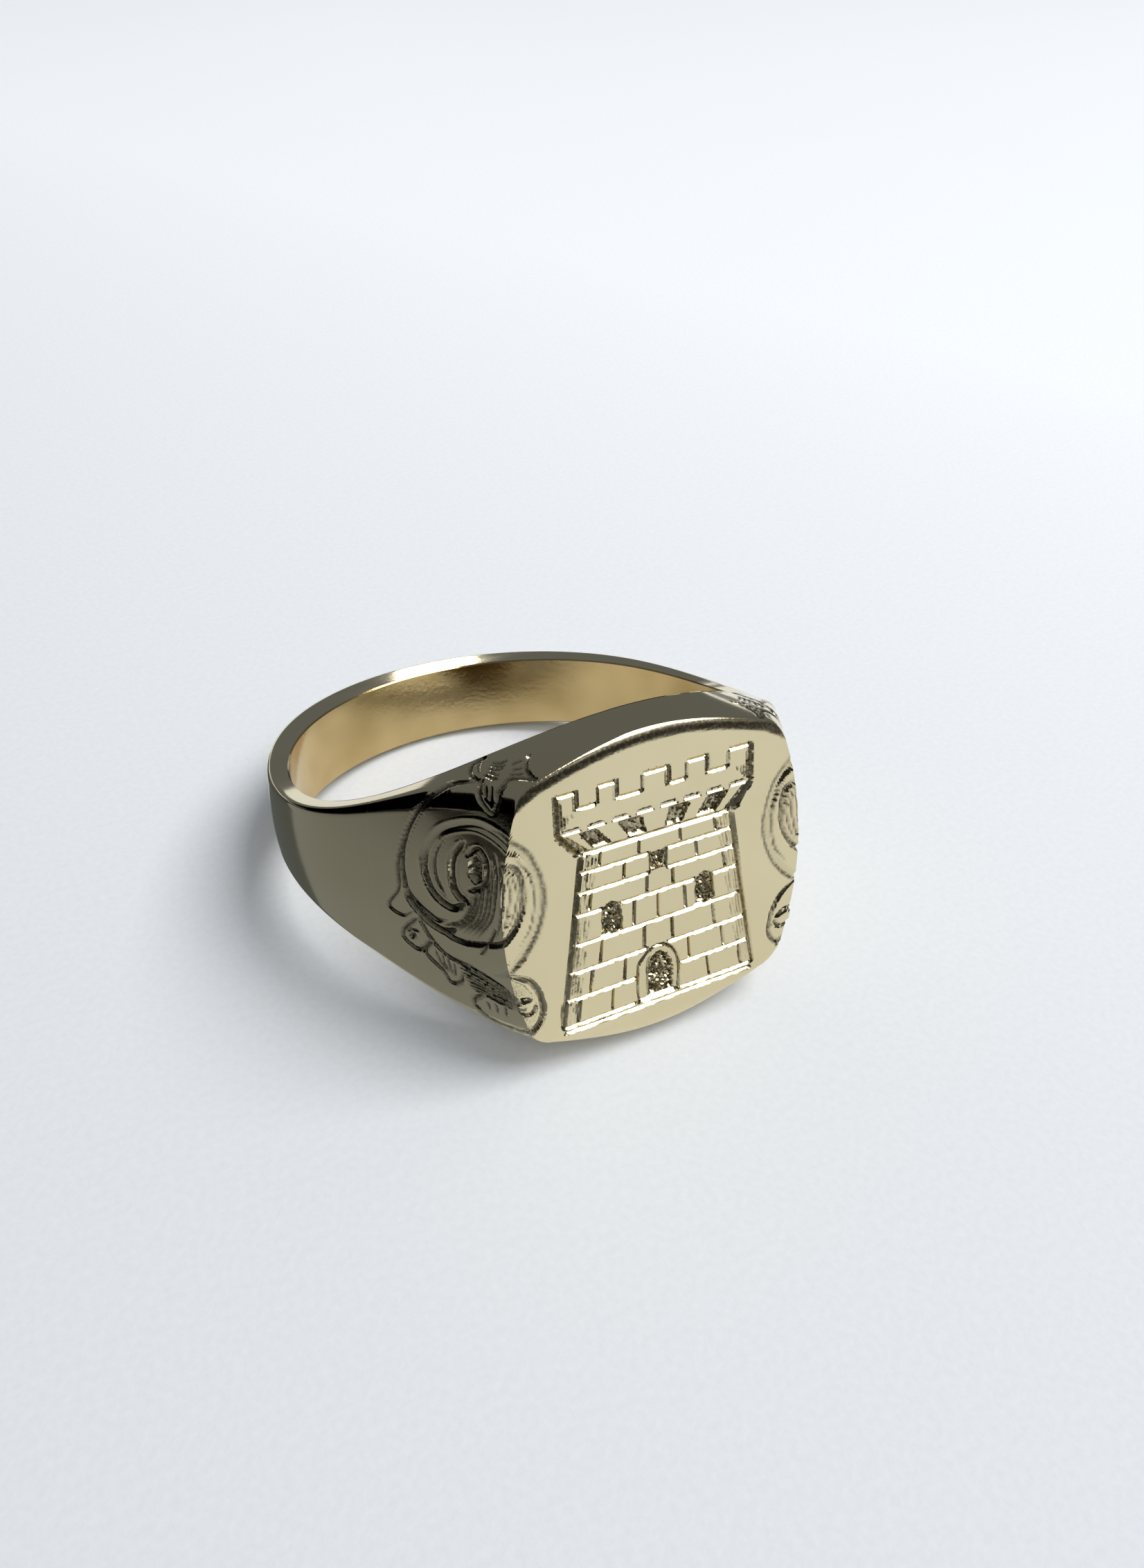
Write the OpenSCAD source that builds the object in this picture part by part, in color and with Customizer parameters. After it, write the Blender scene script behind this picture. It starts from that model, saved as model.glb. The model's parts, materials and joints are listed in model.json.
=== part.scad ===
// Signet ring: a cushion-shaped flat face engraved with a castle, on a head
// that sweeps back through two shoulders into a plain finger band.
// The ring is drawn as it lies on a table: on its side, with the face turned
// toward -Y and tipped up a little. Its maker's frame (hole along Z, face
// square to -Y) is turned into that pose by rest_pose().

/* [Finger hole] */
// Inside diameter of the finger hole
finger_d = 19; // [15:0.1:24]

/* [Head] */
// Thickness of the head behind the middle of the face
head_t = 1.5; // [0.9:0.05:4]
// Width of the face across its middle
face_w = 12.4; // [9:0.1:16]
// Radius of the bow along each side of the face
face_side_r = 12.5; // [8:0.5:60]
// Height of the head where it meets the finger hole
head_h = 13; // [8:0.1:18]
// Slope of the bevel above and below the face (rise over run)
bevel = 0.3; // [0:0.01:0.6]
// Rounding of the head's long creases
head_crease = 0.8; // [0.2:0.05:1.5]

/* [Band] */
// Height of the band at the back
band_h = 3.3; // [2:0.1:8]
// Thickness of the band at the back
back_t = 1.6; // [0.8:0.05:2.5]
// Thickness of the band at the band joints
joint_t = 1.1; // [0.8:0.05:2.5]
// Thickness of the band at the sides
side_t = 0.9; // [0.7:0.05:2.5]
// Crown of the band: how much thinner it is at its edges
crown = 0.12; // [0:0.01:0.4]
// Rounding of the band's outer edges
band_crease = 0.22; // [0.1:0.01:0.5]
// How fast the head narrows into the band (higher is sooner)
sweep = 2.75; // [1.5:0.05:5]

/* [Joints] */
// Angle from the face to each head joint, in degrees
head_joint = 57; // [40:1:60]
// Angle from the face to each band joint, in degrees
band_joint = 118; // [95:1:150]
// Thickness of the solder in a joint
solder_t = 0.1; // [0.05:0.01:0.3]

/* [Castle] */
// Plain metal between the foot of the castle and the face's lower edge
foot_margin = 1.1; // [0.6:0.05:2]
// Plain metal between the merlons and the face's upper edge
crest_margin = 1.5; // [1:0.05:3]
// Plain metal between the foot of the castle and each side of the face
side_margin = 2; // [1.2:0.05:3.5]
// How far each wall leans in on its way up
wall_lean = 0.95; // [0:0.05:1.5]
// How far the battlements stand out past the top of the wall
crest_out = 0.78; // [0.2:0.02:1.2]
// Height of the battlements with their merlons
crest_h = 1.5; // [1:0.05:2.2]
// Height of the stone brackets under the battlements
bracket_h = 0.9; // [0.4:0.05:1.4]
// Depth of the gaps between the merlons
gap_h = 0.65; // [0.3:0.05:0.9]
// Number of merlons
merlons = 5; // [3:1:7]
// Number of brick courses
courses = 7; // [4:1:9]
// Length of a brick
brick_l = 1.55; // [1:0.05:2.5]
// Width of the door
door_w = 1.3; // [0.8:0.05:2]
// Height of the door up to the start of its point
door_h = 1.05; // [0.5:0.05:1.6]
// Width of each arched window
window_w = 0.7; // [0.4:0.05:1]
// Height of each arched window up to its arch
window_h = 1.05; // [0.5:0.05:1.4]
// Width of the cut lines
cut_w = 0.14; // [0.08:0.01:0.25]
// Depth of the cut lines
cut_depth = 0.12; // [0.05:0.01:0.3]
// Depth of the door and the windows
opening_depth = 0.25; // [0.1:0.01:0.5]

/* [Hidden] */
bore_r = finger_d / 2;
face_reach = bore_r + head_t;
step = 3;                          // degrees between two sections
face_over = 1.2;                   // stock left in front of the face plane
core_r = bore_r - 0.7;             // stock left inside the hole
solder_a = solder_t / bore_r * 180 / PI;
gold = [0.80, 0.74, 0.56];
solder = [0.78, 0.73, 0.58];

// ---- the ring's form, by the angle t from the face and the height z ----

// Share of the way from the plain band (0) to the middle of the head (1).
function rise(t) = max(cos(t) - cos(band_joint), 0) / (1 - cos(band_joint));

function half_h(t) = band_h / 2 + (head_h - band_h) / 2 * pow(rise(t), sweep);

function slope(t) = bevel * pow(max(cos(t), 0), 2);

// The back of the band is round about its own centre, band_y behind the
// hole's: it runs through the two band joints and the back.
back_r = bore_r + back_t;
joint_r = bore_r + joint_t;
band_y = (back_r * back_r - joint_r * joint_r) / (2 * (back_r + joint_r * cos(band_joint)));
band_r = back_r - band_y;

function round_r(t) = -band_y * cos(t) + sqrt(pow(band_r, 2) - pow(band_y * sin(t), 2));

// Ahead of the joints the thickness eases off to that of the sides.
ease_a = min(max(2 * (joint_t - side_t) / (band_y * sin(band_joint)) * 180 / PI, 6), 60);

function body_r(t) =
    t >= band_joint && t <= 360 - band_joint ? round_r(t)
    : joint_r + (bore_r + side_t - joint_r)
      * (1 - pow(max(t - band_joint + ease_a, 0) / ease_a, 2));

// Outer radius: round at the back, then a straight flank that leaves the
// round on a tangent and runs to the side edge of the face.
function outer_r(t, z) =
    let (rb = body_r(t) - crown * pow(z / half_h(t), 2),
         edge_x = face_w / 2 - z * z / (2 * face_side_r),
         edge_r = norm([edge_x, face_reach]),
         leave = atan2(edge_x, face_reach) + acos(min(rb / edge_r, 1)),
         r = rb / cos(min(max(leave - t, 0), 77)))
    cos(t) > 0.3 ? min(r, (face_reach + face_over) / cos(t)) : r;

// Height of the crease, where the bevel meets the outer surface.
function crease_z(t, z, n) =
    n == 0 ? z : crease_z(t, (z + half_h(t) - slope(t) * (outer_r(t, z) - bore_r)) / 2, n - 1);

function crease_round(t) =
    band_crease + (head_crease - band_crease) * pow(rise(t), sweep);

function bend(a, b, c, f) = (1 - f) * (1 - f) * a + 2 * f * (1 - f) * b + f * f * c;

// Upper half of a section as [radius, height], from the hole to mid-height.
function half_section(t) =
    let (h = half_h(t),
         zc = crease_z(t, h, 14),
         rc = outer_r(t, zc),
         cr = min(crease_round(t), 0.85 * (rc - bore_r)),
         k = cr / norm([rc - bore_r, slope(t) * (rc - bore_r)]),
         a = [rc - k * (rc - bore_r), zc + k * slope(t) * (rc - bore_r)],
         zb = zc - min(crease_round(t), 0.6 * zc),
         b = [outer_r(t, zb), zb])
    concat([[core_r, h + slope(t) * (bore_r - core_r)]],
           [for (f = [0 : 0.25 : 1]) bend(a, [rc, zc], b, f)],
           [for (i = [1 : 5]) let (z = zb * (1 - i / 5)) [outer_r(t, z), z]]);

function section(t) =
    let (up = half_section(t), n = len(up))
    concat(up, [for (i = [n - 2 : -1 : 0]) [up[i][0], -up[i][1]]]);

function place(t, p) = [p[0] * sin(t), -p[0] * cos(t), p[1]];

// ---- building blocks ----

// Closes an end section of m points, rung by rung from the hole outward.
function end_faces(m) = [for (j = [0 : (m - 3) / 2])
    each j < (m - 3) / 2 ? [[j, j + 1, m - 1 - j], [j + 1, m - 2 - j, m - 1 - j]]
                         : [[j, j + 1, m - 1 - j]]];

// A stretch of the ring between two angles, with the hole bored through.
module ring_stretch(from, to) {
    n = max(1, ceil((to - from) / step));
    rings = [for (i = [0 : n]) from + (to - from) * i / n];
    m = len(section(0));
    points = [for (t = rings) for (p = section(abs(t))) place(t, p)];
    sides = [for (i = [0 : n - 1]) for (j = [0 : m - 1])
             let (a = i * m + j, b = i * m + (j + 1) % m)
             each [[a, b + m, b], [a, a + m, b + m]]];
    near = end_faces(m);
    far = [for (f = near) [f[2], f[1], f[0]] + [n * m, n * m, n * m]];
    difference() {
        polyhedron(points, concat(near, sides, far), convexity = 6);
        cylinder(h = 2 * head_h, r = bore_r, center = true, $fn = 180);
    }
}

// A stretch of the plain band, where its section doesn't change.
module band_stretch(from, to) {
    reach = 3 * back_r;
    profile = section(180);
    difference() {
        translate([0, band_y, 0]) rotate_extrude($fn = 180)
            polygon([for (p = profile) [p[0] - band_y, p[1]]]);
        cylinder(h = 2 * head_h, r = bore_r, center = true, $fn = 180);
        translate([0, 0, -head_h]) linear_extrude(2 * head_h)
            polygon(concat([[0, 0]], [for (i = [0 : 8]) let (t = to + (360 - to + from) * i / 8)
                                      [reach * sin(t), -reach * cos(t)]]));
    }
}

// Height of the face's upper edge over its middle
face_edge_z = half_h(0) - slope(0) * head_t;

// Turns the maker's frame into the resting pose. The ring stands on the
// underside of its head and on the back of its band, so it leans back by the
// line that touches both, and then its box is centred over the origin.
face_foot = [face_reach, -face_edge_z];
head_under = [[bore_r, -half_h(0)], face_foot];
band_under = concat([[bore_r, -half_h(180)]],
                    [for (p = section(180)) if (p[0] > bore_r && p[1] < 0) p]);
rest_a = max([for (h = head_under)
              min([for (b = band_under) atan2(b[1] - h[1], b[0] + h[0])])]);
rest_z = -min([for (h = head_under) h[0] * sin(rest_a) + h[1] * cos(rest_a)]);
front_y = -face_foot[0] * cos(rest_a) + face_foot[1] * sin(rest_a);
back_y = max([for (p = section(180)) p[0] * cos(rest_a) + p[1] * sin(rest_a)]);

module rest_pose() {
    translate([0, -(front_y + back_y) / 2, rest_z]) rotate([-rest_a, 0, 0]) children();
}

// Draws flat work in the face plane, x across and y up, cut to a depth.
module on_face(depth) {
    translate([0, -face_reach, 0]) rotate([90, 0, 0])
        translate([0, 0, -depth]) linear_extrude(depth + face_over) children();
}

module line(a, b, w = cut_w) {
    d = b - a;
    translate(a) rotate(atan2(d[1], d[0])) translate([-w / 2, -w / 2])
        square([norm(d) + w, w]);
}

// ---- the castle, set out from the edges of the face ----

foot_z = foot_margin - face_edge_z;
merlon_z = face_edge_z - crest_margin;
crest_z = merlon_z - crest_h;
wall_z = crest_z - bracket_h;
foot_w = face_w / 2 - side_margin;
wall_w = foot_w - wall_lean;
crest_w = wall_w + crest_out;
course_h = (wall_z - foot_z) / courses;

function wall_at(z) = wall_w + (foot_w - wall_w) * (wall_z - z) / (wall_z - foot_z);

module walls() {
    line([-foot_w, foot_z], [foot_w, foot_z], cut_w * 1.6);
    for (s = [-1, 1]) line([s * foot_w, foot_z], [s * wall_w, wall_z]);
}

module brickwork() {
    most = ceil(foot_w / brick_l);
    for (i = [1 : courses]) {
        z = foot_z + i * course_h;
        line([-wall_at(z), z], [wall_at(z), z]);
    }
    for (i = [0 : courses - 1]) {
        z = foot_z + i * course_h;
        shift = i % 2 == 0 ? 0.5 : 0;
        for (k = [-most : most])
            let (x = (k + shift) * brick_l)
            if (abs(x) < wall_at(z + course_h) - brick_l / 3)
                line([x, z], [x, z + course_h], cut_w * 0.7);
    }
}

module battlements() {
    pitch = 2 * crest_w / (2 * merlons - 1);
    for (s = [-1, 1]) {
        line([s * crest_w, crest_z], [s * crest_w, merlon_z]);
        line([s * crest_w, crest_z], [s * wall_w, wall_z]);
    }
    line([-crest_w, crest_z], [crest_w, crest_z]);
    for (i = [0 : 2 * merlons - 2]) {
        x = -crest_w + i * pitch;
        z = i % 2 == 0 ? merlon_z : merlon_z - gap_h;
        line([x, z], [x + pitch, z]);
        if (i > 0) line([x, merlon_z - gap_h], [x, merlon_z]);
    }
}

// Tapering stone brackets under the battlements
module brackets() {
    n = merlons - 1;
    pitch = 2 * wall_w / n;
    lean = crest_w / wall_w;
    for (i = [0 : n - 1]) {
        x = -wall_w + (i + 0.5) * pitch;
        polygon([[(x - pitch * 0.2) * lean, crest_z - cut_w], [(x + pitch * 0.2) * lean, crest_z - cut_w],
                 [x + pitch * 0.13, wall_z + cut_w], [x - pitch * 0.13, wall_z + cut_w]]);
    }
}

module window(x, z, w, h) {
    translate([x - w / 2, z]) square([w, h]);
    translate([x, z + h]) circle(d = w, $fn = 24);
}

module openings() {
    slit_w = window_w * 0.85;
    translate([-slit_w / 2, wall_z - 1.9 * course_h]) square([slit_w, 0.9 * course_h]);
    for (s = [-1, 1]) window(s * wall_w * 0.55, foot_z + 3 * course_h, window_w, window_h);
    translate([-door_w / 2, foot_z + cut_w]) square([door_w, door_h]);
    polygon([[-door_w / 2, foot_z + cut_w + door_h], [door_w / 2, foot_z + cut_w + door_h],
             [0, foot_z + cut_w + door_h + door_w * 0.55]]);
}

// ---- the pieces ----

module signet_head() {
    color(gold) rest_pose() difference() {
        ring_stretch(-head_joint, head_joint);
        translate([-face_w, -face_reach - face_w, -head_h])
            cube([2 * face_w, face_w, 2 * head_h]);
        on_face(cut_depth) {
            walls();
            brickwork();
            battlements();
            brackets();
        }
        on_face(opening_depth) openings();
    }
}

module shoulder(side) {
    a = head_joint + solder_a;
    color(gold) rest_pose() ring_stretch(side > 0 ? a : -band_joint, side > 0 ? band_joint : -a);
}

module left_shoulder() { shoulder(-1); }

module right_shoulder() { shoulder(1); }

module back_band() {
    a = band_joint + solder_a;
    color(gold) rest_pose() band_stretch(a, 360 - a);
}

module left_head_solder() {
    color(solder) rest_pose() ring_stretch(-head_joint - solder_a, -head_joint);
}

module right_head_solder() {
    color(solder) rest_pose() ring_stretch(head_joint, head_joint + solder_a);
}

module left_band_solder() {
    color(solder) rest_pose() band_stretch(-band_joint - solder_a, -band_joint);
}

module right_band_solder() {
    color(solder) rest_pose() band_stretch(band_joint, band_joint + solder_a);
}

signet_head();
left_shoulder();
right_shoulder();
back_band();
left_head_solder();
right_head_solder();
left_band_solder();
right_band_solder();
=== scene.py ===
"""Signet ring: a cushion face cut with a castle, scrolled flanks and a plain band."""

import json
import logging
import math
from collections.abc import Callable, Sequence
from dataclasses import dataclass, field, replace
from enum import Enum

import bpy
import numpy as np
from mathutils import Matrix, Vector

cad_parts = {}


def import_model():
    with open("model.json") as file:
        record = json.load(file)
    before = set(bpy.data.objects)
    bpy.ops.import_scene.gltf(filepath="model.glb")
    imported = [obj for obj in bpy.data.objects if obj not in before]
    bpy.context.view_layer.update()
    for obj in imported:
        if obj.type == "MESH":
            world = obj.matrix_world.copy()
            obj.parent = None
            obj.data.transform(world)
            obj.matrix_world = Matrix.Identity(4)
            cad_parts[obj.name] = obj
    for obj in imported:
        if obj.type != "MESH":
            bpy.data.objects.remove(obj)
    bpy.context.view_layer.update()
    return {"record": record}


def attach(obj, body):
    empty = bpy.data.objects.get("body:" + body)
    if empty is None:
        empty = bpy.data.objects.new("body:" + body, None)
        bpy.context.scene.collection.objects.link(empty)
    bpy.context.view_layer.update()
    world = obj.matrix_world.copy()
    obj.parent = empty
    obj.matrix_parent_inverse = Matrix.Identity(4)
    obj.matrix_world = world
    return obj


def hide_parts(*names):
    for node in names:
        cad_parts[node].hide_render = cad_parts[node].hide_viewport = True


LOG = logging.getLogger("signet_ring")
MM = 0.001
Point = tuple[float, float]
Colour = tuple[float, float, float]
MIX_SHARE, MIX_FIRST, MIX_SECOND, MIX_RESULT = 0, 6, 7, 2


@dataclass(frozen=True)
class RingForm:
    """The ring's shape in its maker's frame, in millimetres.

    The finger hole runs along Z, the face is square to -Y, and every angle is
    counted round the hole from the middle of the face.
    """

    bore: float = 9.5
    head_thickness: float = 1.5
    face_width: float = 12.4
    face_side_radius: float = 12.5
    head_height: float = 13.0
    bevel: float = 0.3
    head_crease: float = 0.8
    band_height: float = 3.3
    back_thickness: float = 1.6
    joint_thickness: float = 1.1
    side_thickness: float = 0.9
    crown: float = 0.12
    band_crease: float = 0.22
    sweep: float = 2.75
    head_joint: float = math.radians(57)
    band_joint: float = math.radians(118)
    solder: float = 0.1
    face_over: float = 1.2
    face_side: float = 0.3
    steepest: float = math.radians(77)
    ease_least: float = math.radians(6)
    ease_most: float = math.radians(60)
    facet_points: int = 20
    crease_points: int = 16

    @property
    def reach(self) -> float:
        """Distance from the hole's axis to the face."""
        return self.bore + self.head_thickness

    @property
    def solder_angle(self) -> float:
        """Angle that one solder joint takes up."""
        return self.solder / self.bore

    def rise(self, t: np.ndarray) -> np.ndarray:
        """Share of the way from the plain band (0) to the middle of the head (1)."""
        low = math.cos(self.band_joint)
        return np.maximum(np.cos(t) - low, 0) / (1 - low)

    def half_height(self, t: np.ndarray) -> np.ndarray:
        """Half the height of the ring at the hole."""
        return (self.band_height + (self.head_height - self.band_height) * self.rise(t) ** self.sweep) / 2

    def slope(self, t: np.ndarray) -> np.ndarray:
        """Slope of the bevel."""
        return self.bevel * np.maximum(np.cos(t), 0) ** 2

    def crease_round(self, t: np.ndarray) -> np.ndarray:
        """Rounding between the bevel and the outside."""
        return self.band_crease + (self.head_crease - self.band_crease) * self.rise(t) ** self.sweep

    def body_radius(self, t: np.ndarray) -> np.ndarray:
        """Outer radius of the band at mid-height, without the flanks."""
        t = np.pi - np.abs(np.pi - np.asarray(t, float))
        back, joint = self.bore + self.back_thickness, self.bore + self.joint_thickness
        shift = (back**2 - joint**2) / (2 * (back + joint * math.cos(self.band_joint)))
        rounded = -shift * np.cos(t) + np.sqrt((back - shift) ** 2 - (shift * np.sin(t)) ** 2)
        ease = 2 * (self.joint_thickness - self.side_thickness) / (shift * math.sin(self.band_joint))
        ease = min(max(ease, self.ease_least), self.ease_most)
        eased = np.maximum(t - self.band_joint + ease, 0) / ease
        ahead = joint + (self.bore + self.side_thickness - joint) * (1 - eased**2)
        return np.where(t >= self.band_joint, rounded, ahead)

    def edge_x(self, z: np.ndarray) -> np.ndarray:
        """Half-width of the face at a height."""
        return self.face_width / 2 - np.asarray(z, float) ** 2 / (2 * self.face_side_radius)

    def flank(self, t: np.ndarray, z: np.ndarray) -> tuple[np.ndarray, np.ndarray, np.ndarray]:
        """The straight flank that joins the band's round to the face's side edge.

        Args:
            t: Angle from the face.
            z: Height.

        Returns:
            The band's radius, the edge's radius and the angle where the flank leaves the round.
        """
        round_r = self.body_radius(t) - self.crown * (z / self.half_height(t)) ** 2
        edge = self.edge_x(z)
        edge_r = np.hypot(edge, self.reach)
        leave = np.arctan2(edge, self.reach) + np.arccos(np.minimum(round_r / edge_r, 1))
        return round_r, edge_r, leave

    def outer_radius(self, t: np.ndarray, z: np.ndarray) -> np.ndarray:
        """Radius of the outside, before the face is cut flat."""
        round_r, _, leave = self.flank(t, z)
        radius = round_r / np.cos(np.clip(leave - t, 0, self.steepest))
        ahead = np.cos(t) > self.face_side
        return np.where(
            ahead, np.minimum(radius, (self.reach + self.face_over) / np.where(ahead, np.cos(t), 1)), radius
        )

    def flank_distance(self, t: np.ndarray, z: np.ndarray) -> np.ndarray:
        """Distance round the outside from the face's side edge."""
        round_r, edge_r, leave = self.flank(t, z)
        whole = np.sqrt(np.maximum(edge_r**2 - round_r**2, 0))
        return np.where(
            t < leave, whole - round_r * np.tan(np.clip(leave - t, 0, 1.3)), whole + round_r * (t - leave)
        )

    def shoulder_line(self, t: np.ndarray) -> np.ndarray:
        """The bevel and its rounding, from the edge of the hole outward.

        Args:
            t: Angles from the face, one for each line.

        Returns:
            Radius and height, shaped (angles, facet_points + crease_points, 2).
        """
        half, slope = self.half_height(t), self.slope(t)
        height = half
        for _ in range(16):
            height = (height + half - slope * (self.outer_radius(t, height) - self.bore)) / 2
        outer = self.outer_radius(t, height)
        radius = np.minimum(self.crease_round(t), 0.85 * (outer - self.bore))
        share = radius / np.hypot(outer - self.bore, slope * (outer - self.bore))
        start = np.stack(
            [outer - share * (outer - self.bore), height + share * slope * (outer - self.bore)], -1
        )
        corner = np.stack([outer, height], -1)
        low = height - np.minimum(self.crease_round(t), 0.6 * height)
        end = np.stack([self.outer_radius(t, low), low], -1)
        first = np.stack([np.full_like(half, self.bore), half], -1)
        f = np.linspace(0, 1, self.facet_points, endpoint=False)[None, :, None]
        g = np.linspace(0, 1, self.crease_points)[None, :, None]
        flat = first[:, None] * (1 - f) + start[:, None] * f
        turned = (1 - g) ** 2 * start[:, None] + 2 * g * (1 - g) * corner[:, None] + g**2 * end[:, None]
        return np.concatenate([flat, turned], 1)


class Zone(Enum):
    """Which part of the ring's skin a point is on."""

    HOLE = 0
    BEVEL = 1
    FACE = 2
    OUTSIDE = 3


@dataclass
class Skin:
    """A grid of points right round one stretch of the ring.

    Columns run along the ring, rows run round its section and close on themselves.
    Along and across are the skin laid flat: distance from the face's side edge
    (less than zero on the face), and height followed over the creases.
    """

    points: np.ndarray
    along: np.ndarray
    across: np.ndarray
    zone: np.ndarray

    def normals(self) -> np.ndarray:
        """Outward unit normals of the smooth skin."""
        ahead = np.empty_like(self.points)
        ahead[1:-1] = self.points[2:] - self.points[:-2]
        ahead[0], ahead[-1] = self.points[1] - self.points[0], self.points[-1] - self.points[-2]
        down = np.roll(self.points, -1, 1) - np.roll(self.points, 1, 1)
        normal = np.cross(down, ahead)
        return normal / np.maximum(np.linalg.norm(normal, axis=-1, keepdims=True), 1e-12)


@dataclass(frozen=True)
class Weave:
    """How fine a stretch's grid is, in millimetres and rows."""

    pitch: float = 0.05
    bevel_rows: int = 24
    bend_rows: int = 10
    hole_rows: int = 6
    height_rows: int = 60
    heights: tuple[float, ...] = ()

    @property
    def edge_rows(self) -> int:
        """Rows from the hole to the end of the crease."""
        return self.bevel_rows + self.bend_rows


def resample(line: np.ndarray, length: float, first: float, rows: int, bend: int) -> np.ndarray:
    """Spaces rows along a line, fewer on its first straight part.

    Args:
        line: Points of the line.
        length: Length to keep.
        first: Length of the straight part.
        rows: Rows on the straight part.
        bend: Rows after it.

    Returns:
        Points with their distance from the start, shaped (rows + bend + 1, 3).
    """
    step = np.hypot(*np.diff(line, axis=0).T)
    run = np.concatenate([[0], np.cumsum(step)])
    first = min(first, 0.7 * length)
    at = np.concatenate([np.linspace(0, first, rows, endpoint=False), np.linspace(first, length, bend + 1)])
    return np.stack([np.interp(at, run, line[:, 0]), np.interp(at, run, line[:, 1]), at], -1)


@dataclass
class SkinMaker:
    """Lays grids of points over the ring's form."""

    form: RingForm
    roll_width: float = 0.45
    roll_depth: float = 0.1
    field_x: float = 4.45
    field_z: float = 5.08
    rim: float = 0.06
    lip: float = 0.19
    lip_rows: int = 10
    roll_from: float = 3.0
    roll_power: float = 1.6
    roll_end: float = 0.93
    low_roll: float = 0.6
    margin_rows: int = 8
    batch: int = 4000

    def corner(self) -> tuple[float, float]:
        """Angle and height where the face's side edge meets the crease."""
        t = 0.45
        for _ in range(30):
            low = self.form.shoulder_line(np.array([t]))[0, -1, 1]
            t = 0.5 * t + 0.5 * math.atan2(float(self.form.edge_x(low)), self.form.reach)
        return t, float(low)

    def _cut(self, t: float, line: np.ndarray, depth: float) -> float:
        """Length of a shoulder line up to where it meets the face."""
        run = np.concatenate([[0], np.cumsum(np.hypot(*np.diff(line, axis=0).T))])
        ahead = line[:, 0] * math.cos(t) - (self.form.reach - depth)
        past = np.flatnonzero(ahead > 0)
        if len(past) == 0 or past[0] == 0:
            return float(run[-1])
        k = past[0]
        f = -ahead[k - 1] / (ahead[k] - ahead[k - 1])
        return float(run[k - 1] + f * (run[k] - run[k - 1]))

    def stretch(self, angles: np.ndarray, weave: Weave, bulge: np.ndarray | None = None) -> Skin:
        """A stretch with no face, such as a shoulder or the band.

        Args:
            angles: Signed angle of each column.
            weave: How fine the grid is.
            bulge: For each column, how much of the face edge's bow it follows.

        Returns:
            The grid over the whole section.
        """
        form = self.form
        t = np.abs(angles)
        side = np.where(angles < 0, -1.0, 1.0)
        lines = form.shoulder_line(t)
        r = self._rows(weave)
        columns = []
        for k, tk in enumerate(t):
            step = np.hypot(*np.diff(lines[k], axis=0).T)
            top = resample(
                lines[k], step.sum(), step[:form.facet_points].sum(), weave.bevel_rows, weave.bend_rows
            )
            low = top[-1, 1]
            z = self._heights(r, low)
            tz = np.full_like(z, tk)
            if bulge is not None and bulge[k] > 0:
                edge = np.arctan2(form.edge_x(z), form.reach)
                edge = edge - math.atan2(float(form.edge_x(low)), form.reach)
                tz = tk + edge * bulge[k]
            rho = form.outer_radius(tz, z)
            body = np.stack([rho * np.sin(tz) * side[k], -rho * np.cos(tz), z], -1)
            columns.append(
                self._loop(tk, side[k], top, top, body, form.flank_distance(tz, z), z, weave, Zone.OUTSIDE)
            )
        return Skin(*[np.stack([c[i] for c in columns]) for i in range(4)])

    def _rows(self, weave: Weave) -> np.ndarray:
        """Row heights of the castle field, from its top to its foot."""
        if weave.heights:
            return np.array(weave.heights)
        return np.linspace(self.field_z, -self.field_z, weave.height_rows)

    def _heights(self, rows: np.ndarray, top: float, bottom: float | None = None) -> np.ndarray:
        """Fits the field's rows between the creases, with a few rows outside the field."""
        bottom = top if bottom is None else bottom
        inner_top, inner_low = min(self.field_z, top - 0.1), min(self.field_z, bottom - 0.1)
        field = np.where(rows > 0, rows * inner_top, rows * inner_low) / self.field_z
        above = np.linspace(top, inner_top, self.margin_rows + 1)[1:-1]
        below = np.linspace(-inner_low, -bottom, self.margin_rows + 1)[1:-1]
        return np.concatenate([above, field, below])

    def _loop(
        self, t: float, side: float, top: np.ndarray, bottom: np.ndarray, body: np.ndarray, along: np.ndarray,
        across: np.ndarray, weave: Weave, zone: Zone
    ) -> tuple[np.ndarray, np.ndarray, np.ndarray, np.ndarray]:
        """Joins bevel, body, lower bevel and hole into one closed loop of rows.

        Args:
            t: Angle of the column from the face.
            side: Which side of the face it is on, -1 or 1.
            top: The upper bevel's radius, height and run.
            bottom: The lower bevel's, turned up.
            body: Points between the creases.
            along: Distance from the face's edge of each of those.
            across: Height of each of those.
            weave: How fine the grid is.
            zone: Zone of the points between the creases.

        Returns:
            Points, along, across and zone of the whole loop.
        """
        form = self.form
        top, bottom = top.copy(), bottom.copy()
        top[0, 0] += self.rim
        bottom[0, 0] += self.rim

        def ring(line: np.ndarray, up: float) -> np.ndarray:
            """Stands a bevel's line up at this column's angle."""
            return np.stack([line[:, 0] * math.sin(t) * side, -line[:, 0] * math.cos(t), up * line[:, 1]], -1)

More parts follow.
